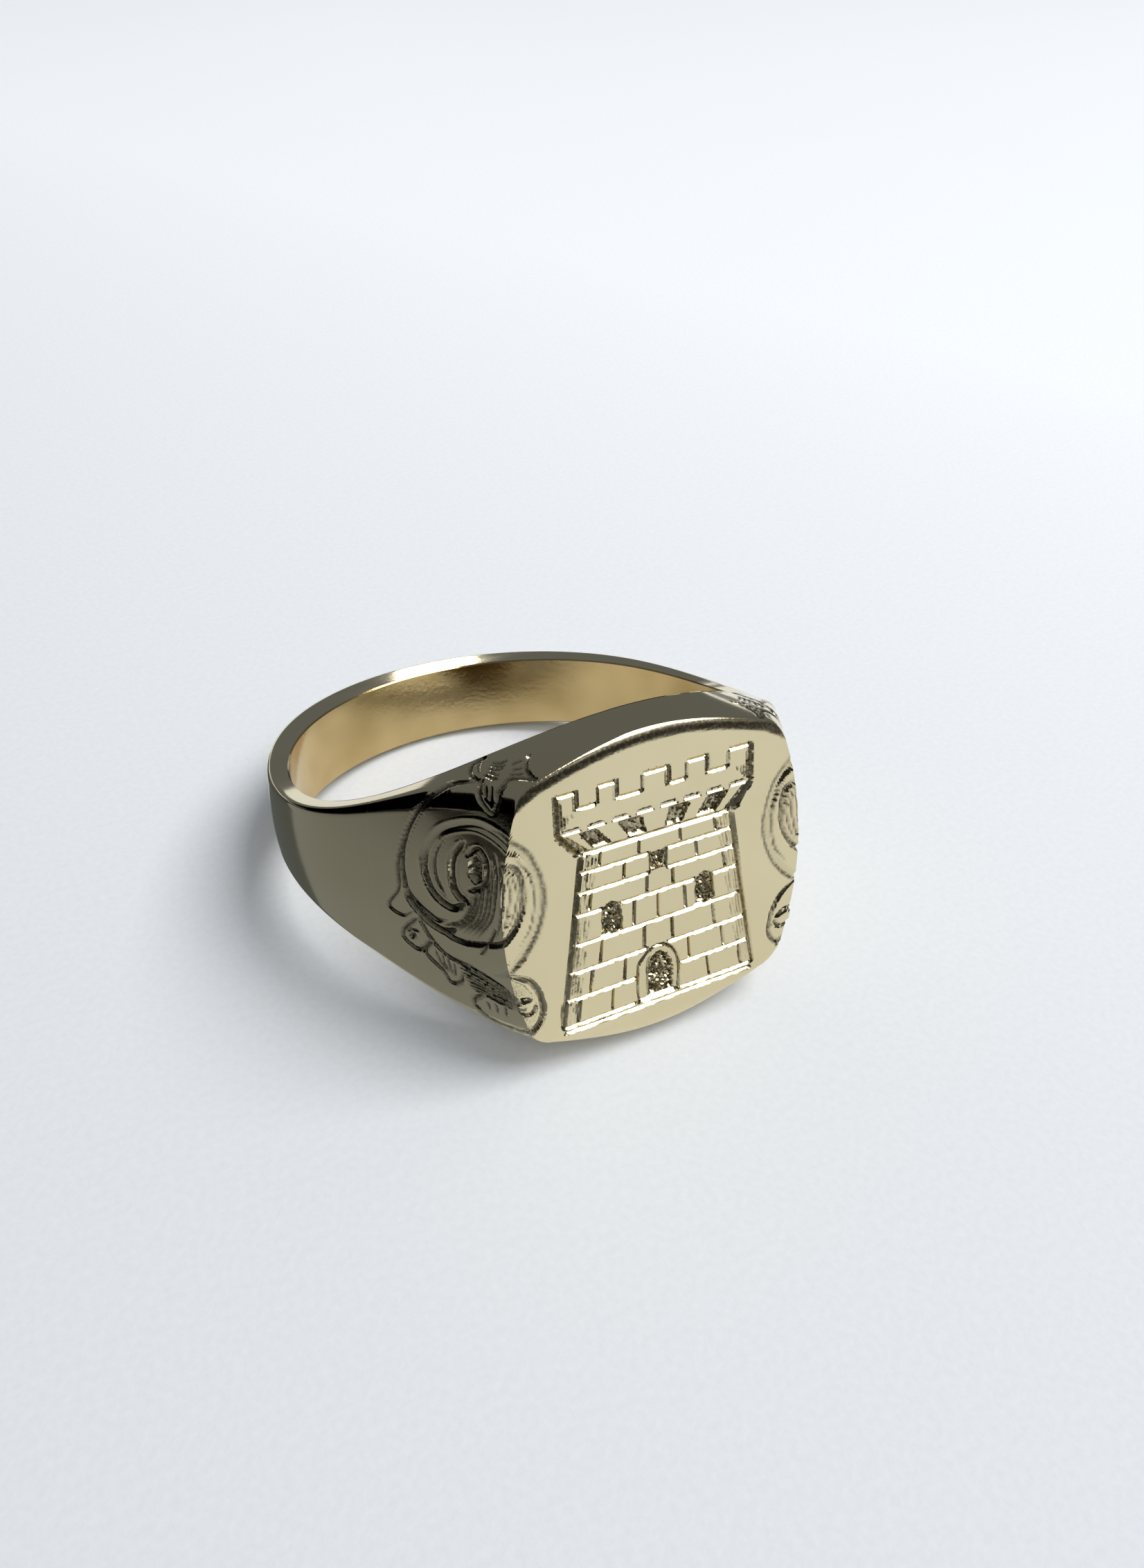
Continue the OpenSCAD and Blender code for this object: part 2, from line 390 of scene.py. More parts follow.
        upper, lower = ring(top, 1.0), ring(bottom, -1.0)[::-1]
        hole_z = np.linspace(-bottom[0, 1] + self.rim, top[0, 1] - self.rim, weave.hole_rows)
        hole = np.stack(
            [
                np.full_like(hole_z, form.bore * math.sin(t) * side),
                np.full_like(hole_z, -form.bore * math.cos(t)), hole_z
            ],
            -1
        )
        points = np.concatenate([upper, body, lower, hole])
        u_top, u_low = along[0], along[-1]
        u = np.concatenate(
            [np.full(len(upper), u_top), along, np.full(len(lower), u_low), np.full(len(hole), 99.0)]
        )
        s = np.concatenate(
            [
                top[-1, 1] + top[-1, 2] - top[:, 2], across,
                (-(bottom[-1, 1] + bottom[-1, 2] - bottom[:, 2]))[::-1], np.zeros(len(hole))
            ]
        )
        zones = np.concatenate([np.full(len(upper), Zone.BEVEL.value), np.full(len(body), zone.value),
                                np.full(len(lower), Zone.BEVEL.value), np.full(len(hole), Zone.HOLE.value)])
        return points, u, s, zones

    def _follow_walls(
        self, x: float, z: np.ndarray, walls: np.ndarray, ends: tuple[float, float]
    ) -> np.ndarray:
        """Bends one column over the field so that it runs along the pattern's leaning walls.

        Args:
            x: Where the column meets the face's upper edge.
            z: Heights of its points.
            walls: Half-width of the pattern at each height.
            ends: Heights where the face ends above and below.

        Returns:
            The column's half-widths.
        """
        wide = float(walls[0])
        inner, outer = x / wide * walls, walls + (x - wide) / (self.field_x - wide) * (self.field_x - walls)
        edge = np.where(z > 0, ends[0], ends[1])
        free = np.clip((np.abs(z) - self.field_z) / np.maximum(edge - self.field_z, 0.05), 0, 1)
        return np.where(x < wide, inner, outer) * (1 - free) + x * free

    def head(
        self, last: float, columns_in: np.ndarray, weave: Weave, walls: Callable[[np.ndarray], np.ndarray]
    ) -> Skin:
        """The head, whose grid lines follow the edge of the face.

        Args:
            last: Angle of the head's end.
            columns_in: Half-widths of the columns over the face, from 0 to the corner.
            weave: How fine the grid is.
            walls: Gives the pattern's half-width at a height.

        Returns:
            The grid over the whole head, from its left end to its right end.
        """
        form = self.form
        t_corner, z_corner = self.corner()
        x_corner = form.reach * math.tan(t_corner)
        r = self._rows(weave)
        t_in = np.arctan2(columns_in * x_corner, form.reach)
        count = int(
            (
                form.flank_distance(np.array(last), 0.0) - form.flank_distance(np.array(t_corner), 0.0)
            ) / weave.pitch
        )
        steps = np.linspace(0, 1, count + 1)[1:]
        t_out = t_corner + (last - t_corner) * steps * (0.6 + 0.4 * steps)
        lines = form.shoulder_line(t_in)
        half = []
        for k, tk in enumerate(t_in):
            x = columns_in[k] * x_corner
            fade = 1 - min(max((columns_in[k] - self.roll_end) / (1 - self.roll_end), 0), 1) ** 2
            ends = []
            for depth in (self.roll_depth * fade, self.roll_depth * self.low_roll * fade):
                length = self._cut(tk, lines[k], depth)
                step = np.hypot(*np.diff(lines[k], axis=0).T)
                ends.append(
                    resample(
                        lines[k], length, step[:form.facet_points].sum(), weave.bevel_rows, weave.bend_rows
                    )
                )
            top, bottom = ends
            z = self._heights(r, top[-1, 1], bottom[-1, 1])
            edge = form.edge_x(np.minimum(np.abs(z), z_corner))
            out = max(x - self.field_x, 0) / (x_corner - self.field_x)
            inside = self._follow_walls(x, z, walls(z), (top[-1, 1], bottom[-1, 1]))
            xs = np.where(x > self.field_x, self.field_x + (edge - self.field_x) * out, inside)
            body = np.stack([xs, np.full_like(z, -form.reach), z], -1)
            half.append(self._loop(tk, 1.0, top, bottom, body, xs - edge, z, weave, Zone.FACE))
        share = (t_out - t_corner) / (last - t_corner)
        outer = self.stretch(t_out, weave, bulge=1 - share**2 * (3 - 2 * share))
        joined = [np.concatenate([np.stack([c[i] for c in half]), getattr(outer, name)])
                  for i, name in enumerate(("points", "along", "across", "zone"))]
        mirrored = [a[:0:-1].copy() for a in joined]
        mirrored[0][..., 0] *= -1
        skin = Skin(*[np.concatenate([m, a]) for m, a in zip(mirrored, joined)])
        self._roll_edge(skin, weave)
        self._round_lip(skin, weave)
        return skin

    def _roll_edge(self, skin: Skin, weave: Weave) -> None:
        """Rounds the face over toward its upper and lower edges."""
        face = skin.zone == Zone.FACE.value
        columns = np.flatnonzero(face.any(1))
        nf = int(face[columns[0]].sum())
        for edge_row, sign in ((weave.edge_rows, 1.0), (weave.edge_rows + nf + 1, -1.0)):
            edge = skin.points[columns, edge_row]
            depth = np.maximum(edge[:, 1] + self.form.reach, 0)
            width = self.roll_width * np.sqrt(depth / self.roll_depth)
            near = face & (np.sign(skin.points[..., 2]) == sign) & (
                np.abs(skin.points[..., 2]) > self.roll_from
            )
            where = np.argwhere(near)
            flat = skin.points[near][:, [0, 2]]
            for start in range(0, len(flat), self.batch):
                part = flat[start:start + self.batch]
                gap = np.hypot(part[:, None, 0] - edge[None, :, 0], part[:, None, 1] - edge[None, :, 2])
                k = gap.argmin(1)
                w = gap[np.arange(len(part)), k] / np.maximum(width[k], 1e-6)
                drop = depth[k] * np.clip(1 - w, 0, 1) ** self.roll_power
                rows = where[start:start + self.batch]
                skin.points[rows[:, 0], rows[:, 1], 1] += drop

    def _round_lip(self, skin: Skin, weave: Weave) -> None:
        """Rounds the sharp line where the bevel meets the face."""
        for k in np.flatnonzero((skin.zone == Zone.FACE.value).any(1)):
            nf = int((skin.zone[k] == Zone.FACE.value).sum())
            for corner in (weave.edge_rows, weave.edge_rows + nf):
                span = slice(corner - self.lip_rows, corner + self.lip_rows + 1)
                line = skin.points[k, span].copy()
                run = np.concatenate([[0], np.cumsum(np.linalg.norm(np.diff(line, axis=0), axis=-1))])
                run -= run[self.lip_rows]
                reach = min(self.lip, -run[0] * 0.9, run[-1] * 0.9)
                ends = [
                    np.array([np.interp(side * reach, run, line[:, i]) for i in range(3)]) for side in (-1, 1)
                ]
                f = np.clip((run + reach) / (2 * reach), 0, 1)[:, None]
                turned = (1 - f) ** 2 * ends[0] + 2 * f * (1 - f) * line[self.lip_rows] + f**2 * ends[1]
                near = np.abs(run) < reach
                skin.points[k, span][near] = turned[near]


def smooth_path(points: Sequence[Point], steps: int = 8) -> np.ndarray:
    """A smooth path through a few points.

    Args:
        points: The points it passes through, in order.
        steps: Pieces between two neighbouring points.

    Returns:
        The path's points, shaped (count, 2).
    """
    p = np.array(points, float)
    if len(p) < 3:
        return p[:1] + (p[-1:] - p[:1]) * np.linspace(0, 1, steps + 1)[:, None]
    p = np.concatenate([2 * p[:1] - p[1:2], p, 2 * p[-1:] - p[-2:-1]])
    f = np.linspace(0, 1, steps, endpoint=False)[:, None]
    parts = [
        0.5 * (2 * b + (c - a) * f + (2 * a - 5 * b + 4 * c - d) * f**2 + (3 * b - a - 3 * c + d) * f**3)
        for a, b, c, d in zip(p[:-3], p[1:-2], p[2:-1], p[3:])
    ]
    return np.concatenate([*parts, p[-2:-1]])


@dataclass(frozen=True)
class Cut:
    """One kind of stroke of the graver, in millimetres."""

    width: float = 0.16
    depth: float = 0.08
    lean: float = 0.0
    burr: float = 0.0
    taper: float = 0.2
    # How dark the groove is painted: painted shade in the groove along with oxidised dirt.
    tone: float = 1.0
    wander: float = 0.0


@dataclass
class Graver:
    """Cuts strokes into points laid out flat, and keeps how deep and how dark each became."""

    at: np.ndarray
    seed: int = 5
    burr_at: float = 1.25
    burr_half: float = 0.35
    thin_end: float = 0.3
    swelling: float = 0.6
    tone_gain: float = 1.6
    height: np.ndarray = field(init=False)
    tone: np.ndarray = field(init=False)

    def __post_init__(self) -> None:
        """Starts from an uncut surface."""
        self.height, self.tone = np.zeros(len(self.at)), np.zeros(len(self.at))
        self.rng = np.random.default_rng(self.seed)

    def _near(self, path: np.ndarray, reach: float) -> np.ndarray:
        """Which points lie within reach of a path's box."""
        low, high = path.min(0) - reach, path.max(0) + reach
        return np.flatnonzero(((self.at >= low) & (self.at <= high)).all(1))

    def _follow(self, path: np.ndarray, pick: np.ndarray) -> tuple[np.ndarray, np.ndarray]:
        """Signed distance of the picked points from a path, left positive, and the share of it passed."""
        start, step = path[:-1], np.diff(path, axis=0)
        length = np.maximum(np.hypot(*step.T), 1e-9)
        gap = self.at[pick][:, None] - start
        f = np.clip((gap * step).sum(-1) / length**2, 0, 1)
        off = gap - f[..., None] * step
        k = np.hypot(off[..., 0], off[..., 1]).argmin(1)
        row = np.arange(len(pick))
        off, side = off[row, k], step[k, 0] * gap[row, k, 1] - step[k, 1] * gap[row, k, 0]
        run = np.concatenate([[0], np.cumsum(length)])
        return np.hypot(*off.T) * np.sign(side), (run[k] + f[row, k] * length[k]) / run[-1]

    def stroke(self, points: Sequence[Point], cut: Cut, steps: int = 8) -> None:
        """Cuts one stroke.

        Args:
            points: Points on the stroke's middle line.
            cut: Its kind.
            steps: Pieces between two points, where it is curved.
        """
        path = smooth_path(points, steps)
        half = cut.width / 2
        pick = self._near(path, cut.width * 1.2)
        if not len(pick):
            return
        off, run = self._follow(path, pick)
        if cut.wander:
            phase = self.rng.uniform(0, 6.28, 3)
            off = off + cut.wander * sum(np.sin(run * k + p) for k, p in zip((19, 41, 67), phase)) / 2
        swell = np.ones_like(run)
        if cut.taper:
            swell = np.clip(np.minimum(run, 1 - run) / max(cut.taper, 1e-3), 0, 1) ** self.swelling
        s, mid = off / half / np.maximum(self.thin_end + (1 - self.thin_end) * swell, 0.05), cut.lean
        wall = np.clip(np.where(s < mid, (s + 1) / (1 + mid), (1 - s) / (1 - mid)), 0, 1)
        deep = -cut.depth * swell * wall
        ridge = cut.burr * swell * np.clip(1 - np.abs(np.abs(s) - self.burr_at) / self.burr_half, 0, 1)
        height = self.height[pick]
        self.height[pick] = np.where(
            wall > 0, np.minimum(height, deep), np.where(height < -0.005, height, np.maximum(height, ridge))
        )
        # The tone paints shade into the groove, darkest at its bottom, together with oxidised dirt.
        self.tone[pick] = np.maximum(self.tone[pick], cut.tone * swell * np.minimum(wall * self.tone_gain, 1))

    def hatch(
        self, first: Sequence[Point], last: Sequence[Point], count: int, cut: Cut, jitter: float = 0.0
    ) -> None:
        """Cuts a row of strokes that turn gradually from a first to a last.

        Args:
            first: The first stroke's points.
            last: The last stroke's points, as many.
            count: Number of strokes.
            cut: Their kind.
            jitter: How far their ends stray.
        """
        a, b = np.array(first, float), np.array(last, float)
        for f in np.linspace(0, 1, count):
            stray = self.rng.normal(0, jitter, a.shape) if jitter else 0
            self.stroke([tuple(p) for p in a * (1 - f) + b * f + stray], cut, 5)

    def inside(self, outline: Sequence[Point]) -> np.ndarray:
        """Depth of each point inside a closed outline, less than zero outside it."""
        path = np.array([*outline, outline[0]], float)
        start, end = path[:-1], path[1:]
        pick = self._near(path, 0.3)
        deep = np.full(len(self.at), -1.0)
        if not len(pick):
            return deep
        p = self.at[pick][:, None]
        off, _ = self._follow(path, pick)
        lift = (start[:, 1] > p[..., 1]) != (end[:, 1] > p[..., 1])
        rise = np.where(np.abs(end[:, 1] - start[:, 1]) < 1e-9, 1e-9, end[:, 1] - start[:, 1])
        across = start[:, 0] + (p[..., 1] - start[:, 1]) / rise * (end[:, 0] - start[:, 0])
        within = (lift & (p[..., 0] < across)).sum(1) % 2 == 1
        deep[pick] = np.where(within, np.abs(off), -np.abs(off))
        return deep

    def sink(
        self, outline: Sequence[Point], depth: float, rough: float = 0.0, wall: float = 0.08,
        tone: float = 0.6
    ) -> None:
        """Sinks an area, with a punched floor if it is rough.

        Args:
            outline: Its closed outline.
            depth: How deep.
            rough: Height of the punch marks.
            wall: Width of its sloping edge.
            tone: How dark its floor is painted, as shade in the hollow together with oxidised dirt.
        """
        deep = self.inside(outline)
        share = np.clip(deep / wall, 0, 1)
        marks = self.rng.uniform(-1, 1, len(deep)) * rough * share
        hit = share > 0
        self.height[hit] = np.minimum(self.height[hit], -depth * share[hit] + marks[hit])
        self.tone[hit] = np.maximum(self.tone[hit], share[hit] * tone * (0.75 + 0.25 * np.sign(-marks[hit])))

    def swell(self, outline: Sequence[Point], lift: float, width: float) -> None:
        """Raises an area gently toward its middle."""
        deep = self.inside(outline)
        share = np.clip(deep / width, 0, 1)
        self.height += lift * np.sqrt(share * (2 - share))


@dataclass(frozen=True)
class Castle:
    """A castle tower cut in the face, measured from the face's middle in millimetres."""

    foot: float = -4.86
    foot_half: float = 4.22
    top_half: float = 3.1
    neck: float = 2.08
    courses: tuple[float, ...] = (1.37, 0.58, -0.27, -1.45, -2.55, -3.65)
    joints: tuple[tuple[float, ...], ...] = (
        (-2.35, -0.8, 0.92, 2.4),
        (-1.4, 1.6),
        (-2.8, -0.5, 0.6, 2.8),
        (-1.05, -0.05, 1.1),
        (-2.45, -0.65, 0.55, 2.35),
        (-2.9, -1.5, 1.25, 2.75),
        (-3.45, -2.05, 2.1, 3.55),
    )
    crest_half: float = 3.97
    crest_foot: float = 3.07
    merlon_top: float = 4.5
    gap_floor: float = 3.87
    gaps: tuple[Point, ...] = ((-3.15, -2.38), (-1.58, -0.6), (0.5, 1.2), (2.1, 2.95))
    brackets: tuple[tuple[float, float, float, float], ...] = (
        (-3.15, -2.45, -2.6, -1.85),
        (-1.65, -0.6, -1.15, -0.45),
        (0.5, 1.4, 0.3, 1.0),
        (2.1, 3.0, 1.6, 2.4),
    )
    bright: Cut = Cut(width=0.17, depth=0.145, lean=0.6, burr=0.02, taper=0.03, tone=0.12, wander=0.003)
    dark: Cut = Cut(width=0.115, depth=0.12, lean=0.0, burr=0.0, taper=0.05, tone=1.0, wander=0.003)

    def half_at(self, z: float | np.ndarray) -> float | np.ndarray:
        """Half the tower's width at a height."""
        return self.top_half + (self.foot_half - self.top_half) * (self.neck - z) / (self.neck - self.foot)

    def walls(self, z: np.ndarray) -> np.ndarray:
        """Half the castle's width at each height, from the battlements down to the foot."""
        tower = self.half_at(np.clip(z, self.foot, self.neck))
        flare = np.clip((z - self.neck) / (self.crest_foot - self.neck), 0, 1)
        return np.where(z > self.neck, self.top_half + (self.crest_half - self.top_half) * flare, tower)

    def rows(self, pitch: float, field_z: float) -> tuple[float, ...]:
        """Heights of the grid rows over the field, with rows on the edges of every level line.

        Args:
            pitch: Usual distance between rows.
            field_z: Half the field's height.

        Returns:
            Heights from the top down.
        """
        half = self.bright.width / 2
        levels = [
            self.neck, *self.courses, self.foot + 0.11, self.foot - 0.11, self.crest_foot, self.merlon_top,
            self.gap_floor
        ]
        keys = [field_z, -field_z]
        for z in levels:
            keys += [
                z + half, z + half * self.bright.lean, z - half * 0.3, z - half, z - 1.25 * half,
                z - 1.6 * half
            ]
        keys = sorted((k for k in set(keys) if abs(k) <= field_z), reverse=True)
        rows = [keys[0]]
        for low in keys[1:]:
            count = max(round((rows[-1] - low) / pitch), 1)
            if rows[-1] - low < 0.02 and low > -field_z:
                continue
            rows += list(np.linspace(rows[-1], low, count + 1)[1:])
        return tuple(float(z) for z in rows)

    def engrave(self, graver: Graver) -> None:
        """Cuts the whole castle, the sunk areas first."""
        self._openings(graver)
        self._walls(graver)
        self._masonry(graver)
        self._brackets(graver)
        self._crest(graver)

    def _openings(self, graver: Graver) -> None:
        """Door, two arched windows and a slit, each with a punched floor."""
        door = [
            (-0.5, -4.72), (-0.5, -3.2), (-0.3, -2.95), (0.0, -2.82), (0.35, -3.05), (0.62, -3.6),
            (0.6, -4.72)
        ]
        graver.sink(
            [
                (-0.93, -4.75), (-0.93, -3.3), (-0.62, -2.85), (-0.1, -2.58), (0.4, -2.8), (0.74, -3.45),
                (0.74, -4.75)
            ],
            0.06, 0.0, 0.08, 0.1
        )
        graver.sink(door, 0.24, 0.075, 0.1, 0.7)
        graver.stroke(
            [
                (-0.95, -4.8), (-0.95, -3.3), (-0.62, -2.82), (-0.1, -2.55), (0.42, -2.78), (0.77, -3.45),
                (0.77, -4.8)
            ],
            replace(self.dark, width=0.13, depth=0.12)
        )
        graver.stroke([(-0.52, -4.75), (-0.52, -3.25), (-0.32, -2.95)], self.dark)
        for middle in (-1.98, 1.95):
            arch = [
                (middle - 0.34, -1.42), (middle - 0.34, -0.5), (middle - 0.2, -0.24), (middle + 0.03, -0.16),
                (middle + 0.26, -0.28), (middle + 0.34, -0.55), (middle + 0.34, -1.42)
            ]
            graver.sink(arch, 0.2, 0.07, 0.1, 0.75)
            graver.stroke([*arch, arch[0]], replace(self.dark, width=0.12, burr=0.015, taper=0))
        slit = [(-0.33, 0.66), (-0.33, 1.36), (0.3, 1.36), (0.3, 0.66)]
        graver.sink(slit, 0.18, 0.06, 0.1, 0.8)
        graver.stroke([(0.31, 1.38), (0.31, 0.62)], self.dark, 4)
        graver.stroke([(-0.34, 1.38), (-0.34, 0.62)], self.dark, 4)

    def _walls(self, graver: Graver) -> None:
        """The tower's two sides, shaded with fine upright lines."""
        top, foot = self.neck - 0.03, self.foot + 0.06
        for side in (-1, 1):
            graver.stroke(
                [(side * (self.half_at(top) - 0.02), top), (side * (self.half_at(foot) - 0.06), foot)],
                Cut(width=0.22, depth=0.12, lean=0.2 * side, burr=0.015, taper=0.02, tone=0.8, wander=0.004),
                24
            )
            fine = Cut(width=0.07, depth=0.035, lean=0, burr=0.01, taper=0.1, tone=0.55, wander=0.006)
            for high, low in zip((top, *self.courses), (*self.courses, foot)):
                for k, inset in enumerate((0.24, 0.36, 0.49, 0.62)):
                    share = 1 - inset / self.half_at((high + low) / 2)
                    a, b = self.half_at(high) * share, self.half_at(low) * share
                    reach = (0.02, 0.05, 0.12, 0.25)[k] * (high - low)
                    graver.stroke([(side * a, high - reach), (side * b, low + 0.1)], fine, 6)

    def _masonry(self, graver: Graver) -> None:
        """Courses of masonry: a bright line under each, dark joints between the blocks."""
        levels = (self.neck, *self.courses)
        for z in levels:
            half = self.half_at(z) + (0.03 if z == self.neck else -0.02)
            cut = replace(self.bright, width=0.19, depth=0.155) if z == self.neck else self.bright
            for a, b in self._between(-half, half, z):
                graver.stroke([(a, z), ((a + b) / 2, z), (b, z)], cut, 16)
        for high, low, places in zip(levels, (*self.courses, self.foot + 0.12), self.joints):
            for x in places:
                lean = x / self.half_at((high + low) / 2)
                graver.stroke(
                    [(lean * self.half_at(high), high - 0.1), (lean * self.half_at(low), low + 0.09)],
                    self.dark, 6
                )
        for z, half, cut in (
            (self.foot + 0.11, 4.1, self.bright), (self.foot - 0.11, 4.2, replace(self.bright, width=0.17))
        ):
            for a, b in ((-half, -1.0), (-0.9, 0.72), (0.8, half)) if z > self.foot else ((-half, half),):
                graver.stroke([(a, z), ((a + b) / 2, z), (b, z)], cut, 24)

    def _between(self, left: float, right: float, z: float) -> list[Point]:
        """The stretches of a level line that miss the openings."""
        holes = {
            0.58: ((-0.36, 0.33),), 1.37: ((-0.36, 0.33),), -0.27: ((-2.3, -1.64), (1.6, 2.3)),
            -2.55: ((-0.45, 0.3),), -3.65: ((-0.98, 0.8),)
        }
        spans, start = [], left
        for a, b in holes.get(z, ()):
            spans.append((start, a))
            start = b
        return [*spans, (start, right)]

    def _brackets(self, graver: Graver) -> None:
        """Four hatched brackets that carry the battlements, and the slanted ends beside them."""
        top, foot = self.crest_foot - 0.12, self.neck + 0.12
        for a, b, c, d in self.brackets:
            graver.sink([(a, top), (b, top), (d, foot), (c, foot)], 0.13, 0.02, 0.12, 0.8)
            graver.hatch(
                [(a + 0.06, top - 0.04), (c + 0.05, foot + 0.04)],
                [(b - 0.06, top - 0.04), (d - 0.05, foot + 0.04)], 7,
                Cut(width=0.08, depth=0.18, lean=0.3, burr=0, taper=0.1, tone=0.9, wander=0.008), 0.015
            )
        for side in (-1, 1):
            graver.stroke(
                [
                    (side * (self.crest_half + 0.02), self.crest_foot),
                    (side * (self.half_at(self.neck) + 0.03), self.neck)
                ],
                Cut(width=0.26, depth=0.15, lean=-0.3 * side, burr=0.02, taper=0.05, tone=0.9, wander=0.012),
                10
            )
            for shift in (0.2, 0.33):
                graver.stroke(
                    [
                        (side * (self.crest_half - shift), top),
                        (side * (self.half_at(foot) - shift + 0.06), foot)
                    ],
                    Cut(width=0.08, depth=0.06, lean=0, burr=0.01, taper=0.1, tone=0.7), 8
                )

    def _crest(self, graver: Graver) -> None:
        """The battlements: bright tops and gap floors, dark sides, a dashed underside."""
        half, foot, top, gap = self.crest_half, self.crest_foot, self.merlon_top, self.gap_floor
        edges = [-half, *[x for pair in self.gaps for x in pair], half]
        thick = replace(self.bright, width=0.17, taper=0.06)
        for a, b in zip(edges[::2], edges[1::2]):
            graver.stroke([(a + 0.04, top), ((a + b) / 2, top), (b - 0.02, top)], thick, 8)
            graver.stroke(
                [(b, top + 0.06), (b, gap - 0.04)],
                replace(self.dark, width=0.16, depth=0.13, lean=-0.3, taper=0.02), 6
            )
            graver.stroke([(a + 0.02, top - 0.02), (a + 0.02, gap)], replace(self.dark, width=0.09), 6)
            graver.stroke(
                [(b - 0.14, top - 0.12), (b - 0.14, gap - 0.05)],
                replace(self.dark, width=0.06, depth=0.04, tone=0.6), 6
            )
        for a, b in self.gaps:
            graver.stroke([(a + 0.02, gap), ((a + b) / 2, gap), (b - 0.02, gap)], thick, 8)
        for side in (-1, 1):
            graver.stroke(
                [(side * half, top + 0.05), (side * half, foot)],
                Cut(width=0.22, depth=0.14, lean=-0.25, burr=0.02, taper=0.02, tone=0.95, wander=0.01), 12
            )
            for shift, low in ((0.2, 0.12), (0.32, 0.2), (0.45, 0.3), (0.6, 0.5)):
                graver.stroke(
                    [
                        (side * (half - shift), gap - 0.12 if shift > 0.3 else top - 0.2),
                        (side * (half - shift), foot + low)
                    ],
                    Cut(width=0.07, depth=0.05, lean=0, burr=0.01, taper=0.1, tone=0.7, wander=0.006), 8
                )
        spots = np.linspace(-half + 0.1, half - 0.1, 9)
        for a, b in zip(spots[:-1], spots[1:]):
            graver.stroke(
                [(a + 0.05, foot), (b - 0.06, foot)], replace(self.bright, width=0.12, taper=0.15), 6
            )


